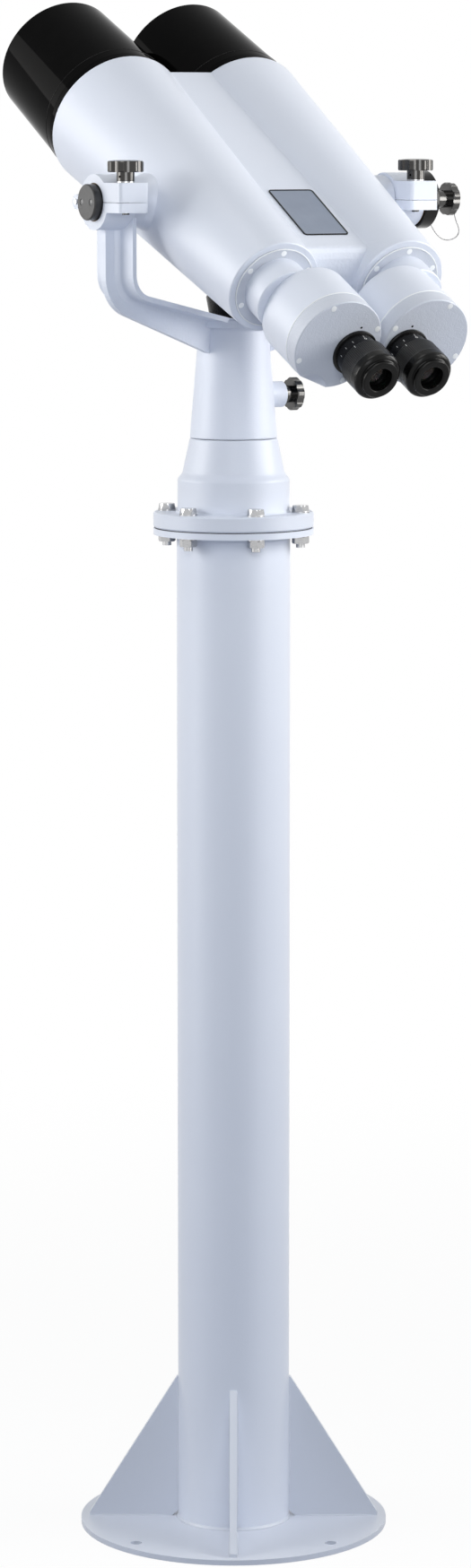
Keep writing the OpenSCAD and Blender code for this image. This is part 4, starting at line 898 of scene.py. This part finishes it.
# %% [markdown]
# ## The studio
# A pale floor, a white world and seven soft lamps. The lamps to the left and right draw
# the bright bands along the tube, and the one above lights the barrels. A panel behind on the
# left shows as a band in the black hoods, and a narrow strip draws the glints on the knobs.
# The world shows white to the camera and in reflections, but lights the object more weakly, so
# the paint keeps its shading. The floor is nearly white to the camera and still takes the shadow.

# %% World
world = bpy.data.worlds.new("studio_world")
world.use_nodes = True
bpy.context.scene.world = world
air = Nodes(world.node_tree)
falling = air.add("ShaderNodeBackground",
                  values={"Color": (0.72, 0.84, 1.0), "Strength": 0.14})
white = air.add("ShaderNodeBackground", values={"Color": (1, 1, 1), "Strength": 1.0})
air.show("World Output", air.seen(), falling, white)
print("world ready")

# %% Floor
FLOOR_HALF, FLOOR_Z = 14.0, -0.0005
# The floor glows a little less round the foot, so that the shadow there can be seen
GLOW_NEAR, GLOW_FAR = 0.93, 1.0
FOOT_SHADE_START, FOOT_SHADE_END = 0.5, 2.6
corners = [(x * FLOOR_HALF, y * FLOOR_HALF, FLOOR_Z)
           for x, y in ((-1, -1), (1, -1), (1, 1), (-1, 1))]
floor = add_mesh("studio_floor", corners, [(0, 1, 2, 3)])
floor_finish = Finish("studio_floor", Roughness=0.8)
glow = floor_finish.add("ShaderNodeEmission", values={"Strength": 1.0})
from_middle = floor_finish.vector("LENGTH", floor_finish.here(), out="Value")
away = floor_finish.step(from_middle, FOOT_SHADE_START, FOOT_SHADE_END)
share = GLOW_NEAR + away * (GLOW_FAR - GLOW_NEAR)
# The camera sees a pale floor, and the light that it throws up at the object is a cooler grey
camera_ray = floor_finish.add("ShaderNodeLightPath", out="Is Camera Ray")
floor_finish.colour(camera_ray, (0.38, 0.42, 0.52), (0.92, 0.93, 0.95))
surface = Wire(floor_finish.tree, floor_finish.shader.outputs[0])
floor_finish.show("Material Output", floor_finish.seen() * share, surface, glow)
floor.data.materials.append(floor_finish.material)
print("floor ready")

# %% Lamps
RIGHT = Vector((math.cos(VIEW_TURN), -math.sin(VIEW_TURN), 0))
NEAR = Vector((-math.sin(VIEW_TURN), -math.cos(VIEW_TURN), 0))
WARM, COOL = (1, 0.99, 0.965), (0.94, 0.965, 0.985)


def lamp(name, spot, size, watts, aim, tint=WARM):
    """A soft box; spot is the photographer's right, near and up, and aim a height, in metres."""
    right, near, up = spot
    data = bpy.data.lights.new(name, "AREA")
    data.shape = "RECTANGLE"
    data.size, data.size_y = size
    data.energy, data.color = watts, tint
    light = bpy.data.objects.new(name, data)
    light.location = RIGHT * right + NEAR * near + Vector((0, 0, up))
    light.rotation_mode = "QUATERNION"
    light.rotation_quaternion = (Vector((0, 0, aim)) - light.location).to_track_quat("-Z", "Y")
    bpy.context.scene.collection.objects.link(light)


lamp("left_soft_box", spot=(-1.9, 0.35, 1.75), size=(0.9, 0.9), watts=16.5, aim=1.42)
lamp("left_panel", spot=(-1.85, -0.5, 1.95), size=(0.8, 1.3), watts=8, aim=1.6)
lamp("right_soft_box", spot=(1.9, -0.1, 1.85), size=(0.9, 0.9), watts=23.5, aim=1.42)
lamp("top_soft_box", spot=(-0.3, 0.6, 3.4), size=(1.0, 1.0), watts=11, aim=1.5)
lamp("front_soft_box", spot=(0.2, 2.6, 1.9), size=(1.4, 1.4), watts=23.5, aim=1.3, tint=COOL)
lamp("strip_light", spot=(1.62, 0.64, 1.66), size=(0.22, 1.3), watts=9, aim=1.5)
lamp("low_left_soft_box", spot=(-1.9, 0.3, 0.9), size=(0.8, 1.4), watts=3.2, aim=0.9)
print("lamps:", len(bpy.data.lights))

# %% [markdown]
# Colours are shown with the Standard view transform.

bpy.context.scene.view_settings.view_transform = "Standard"
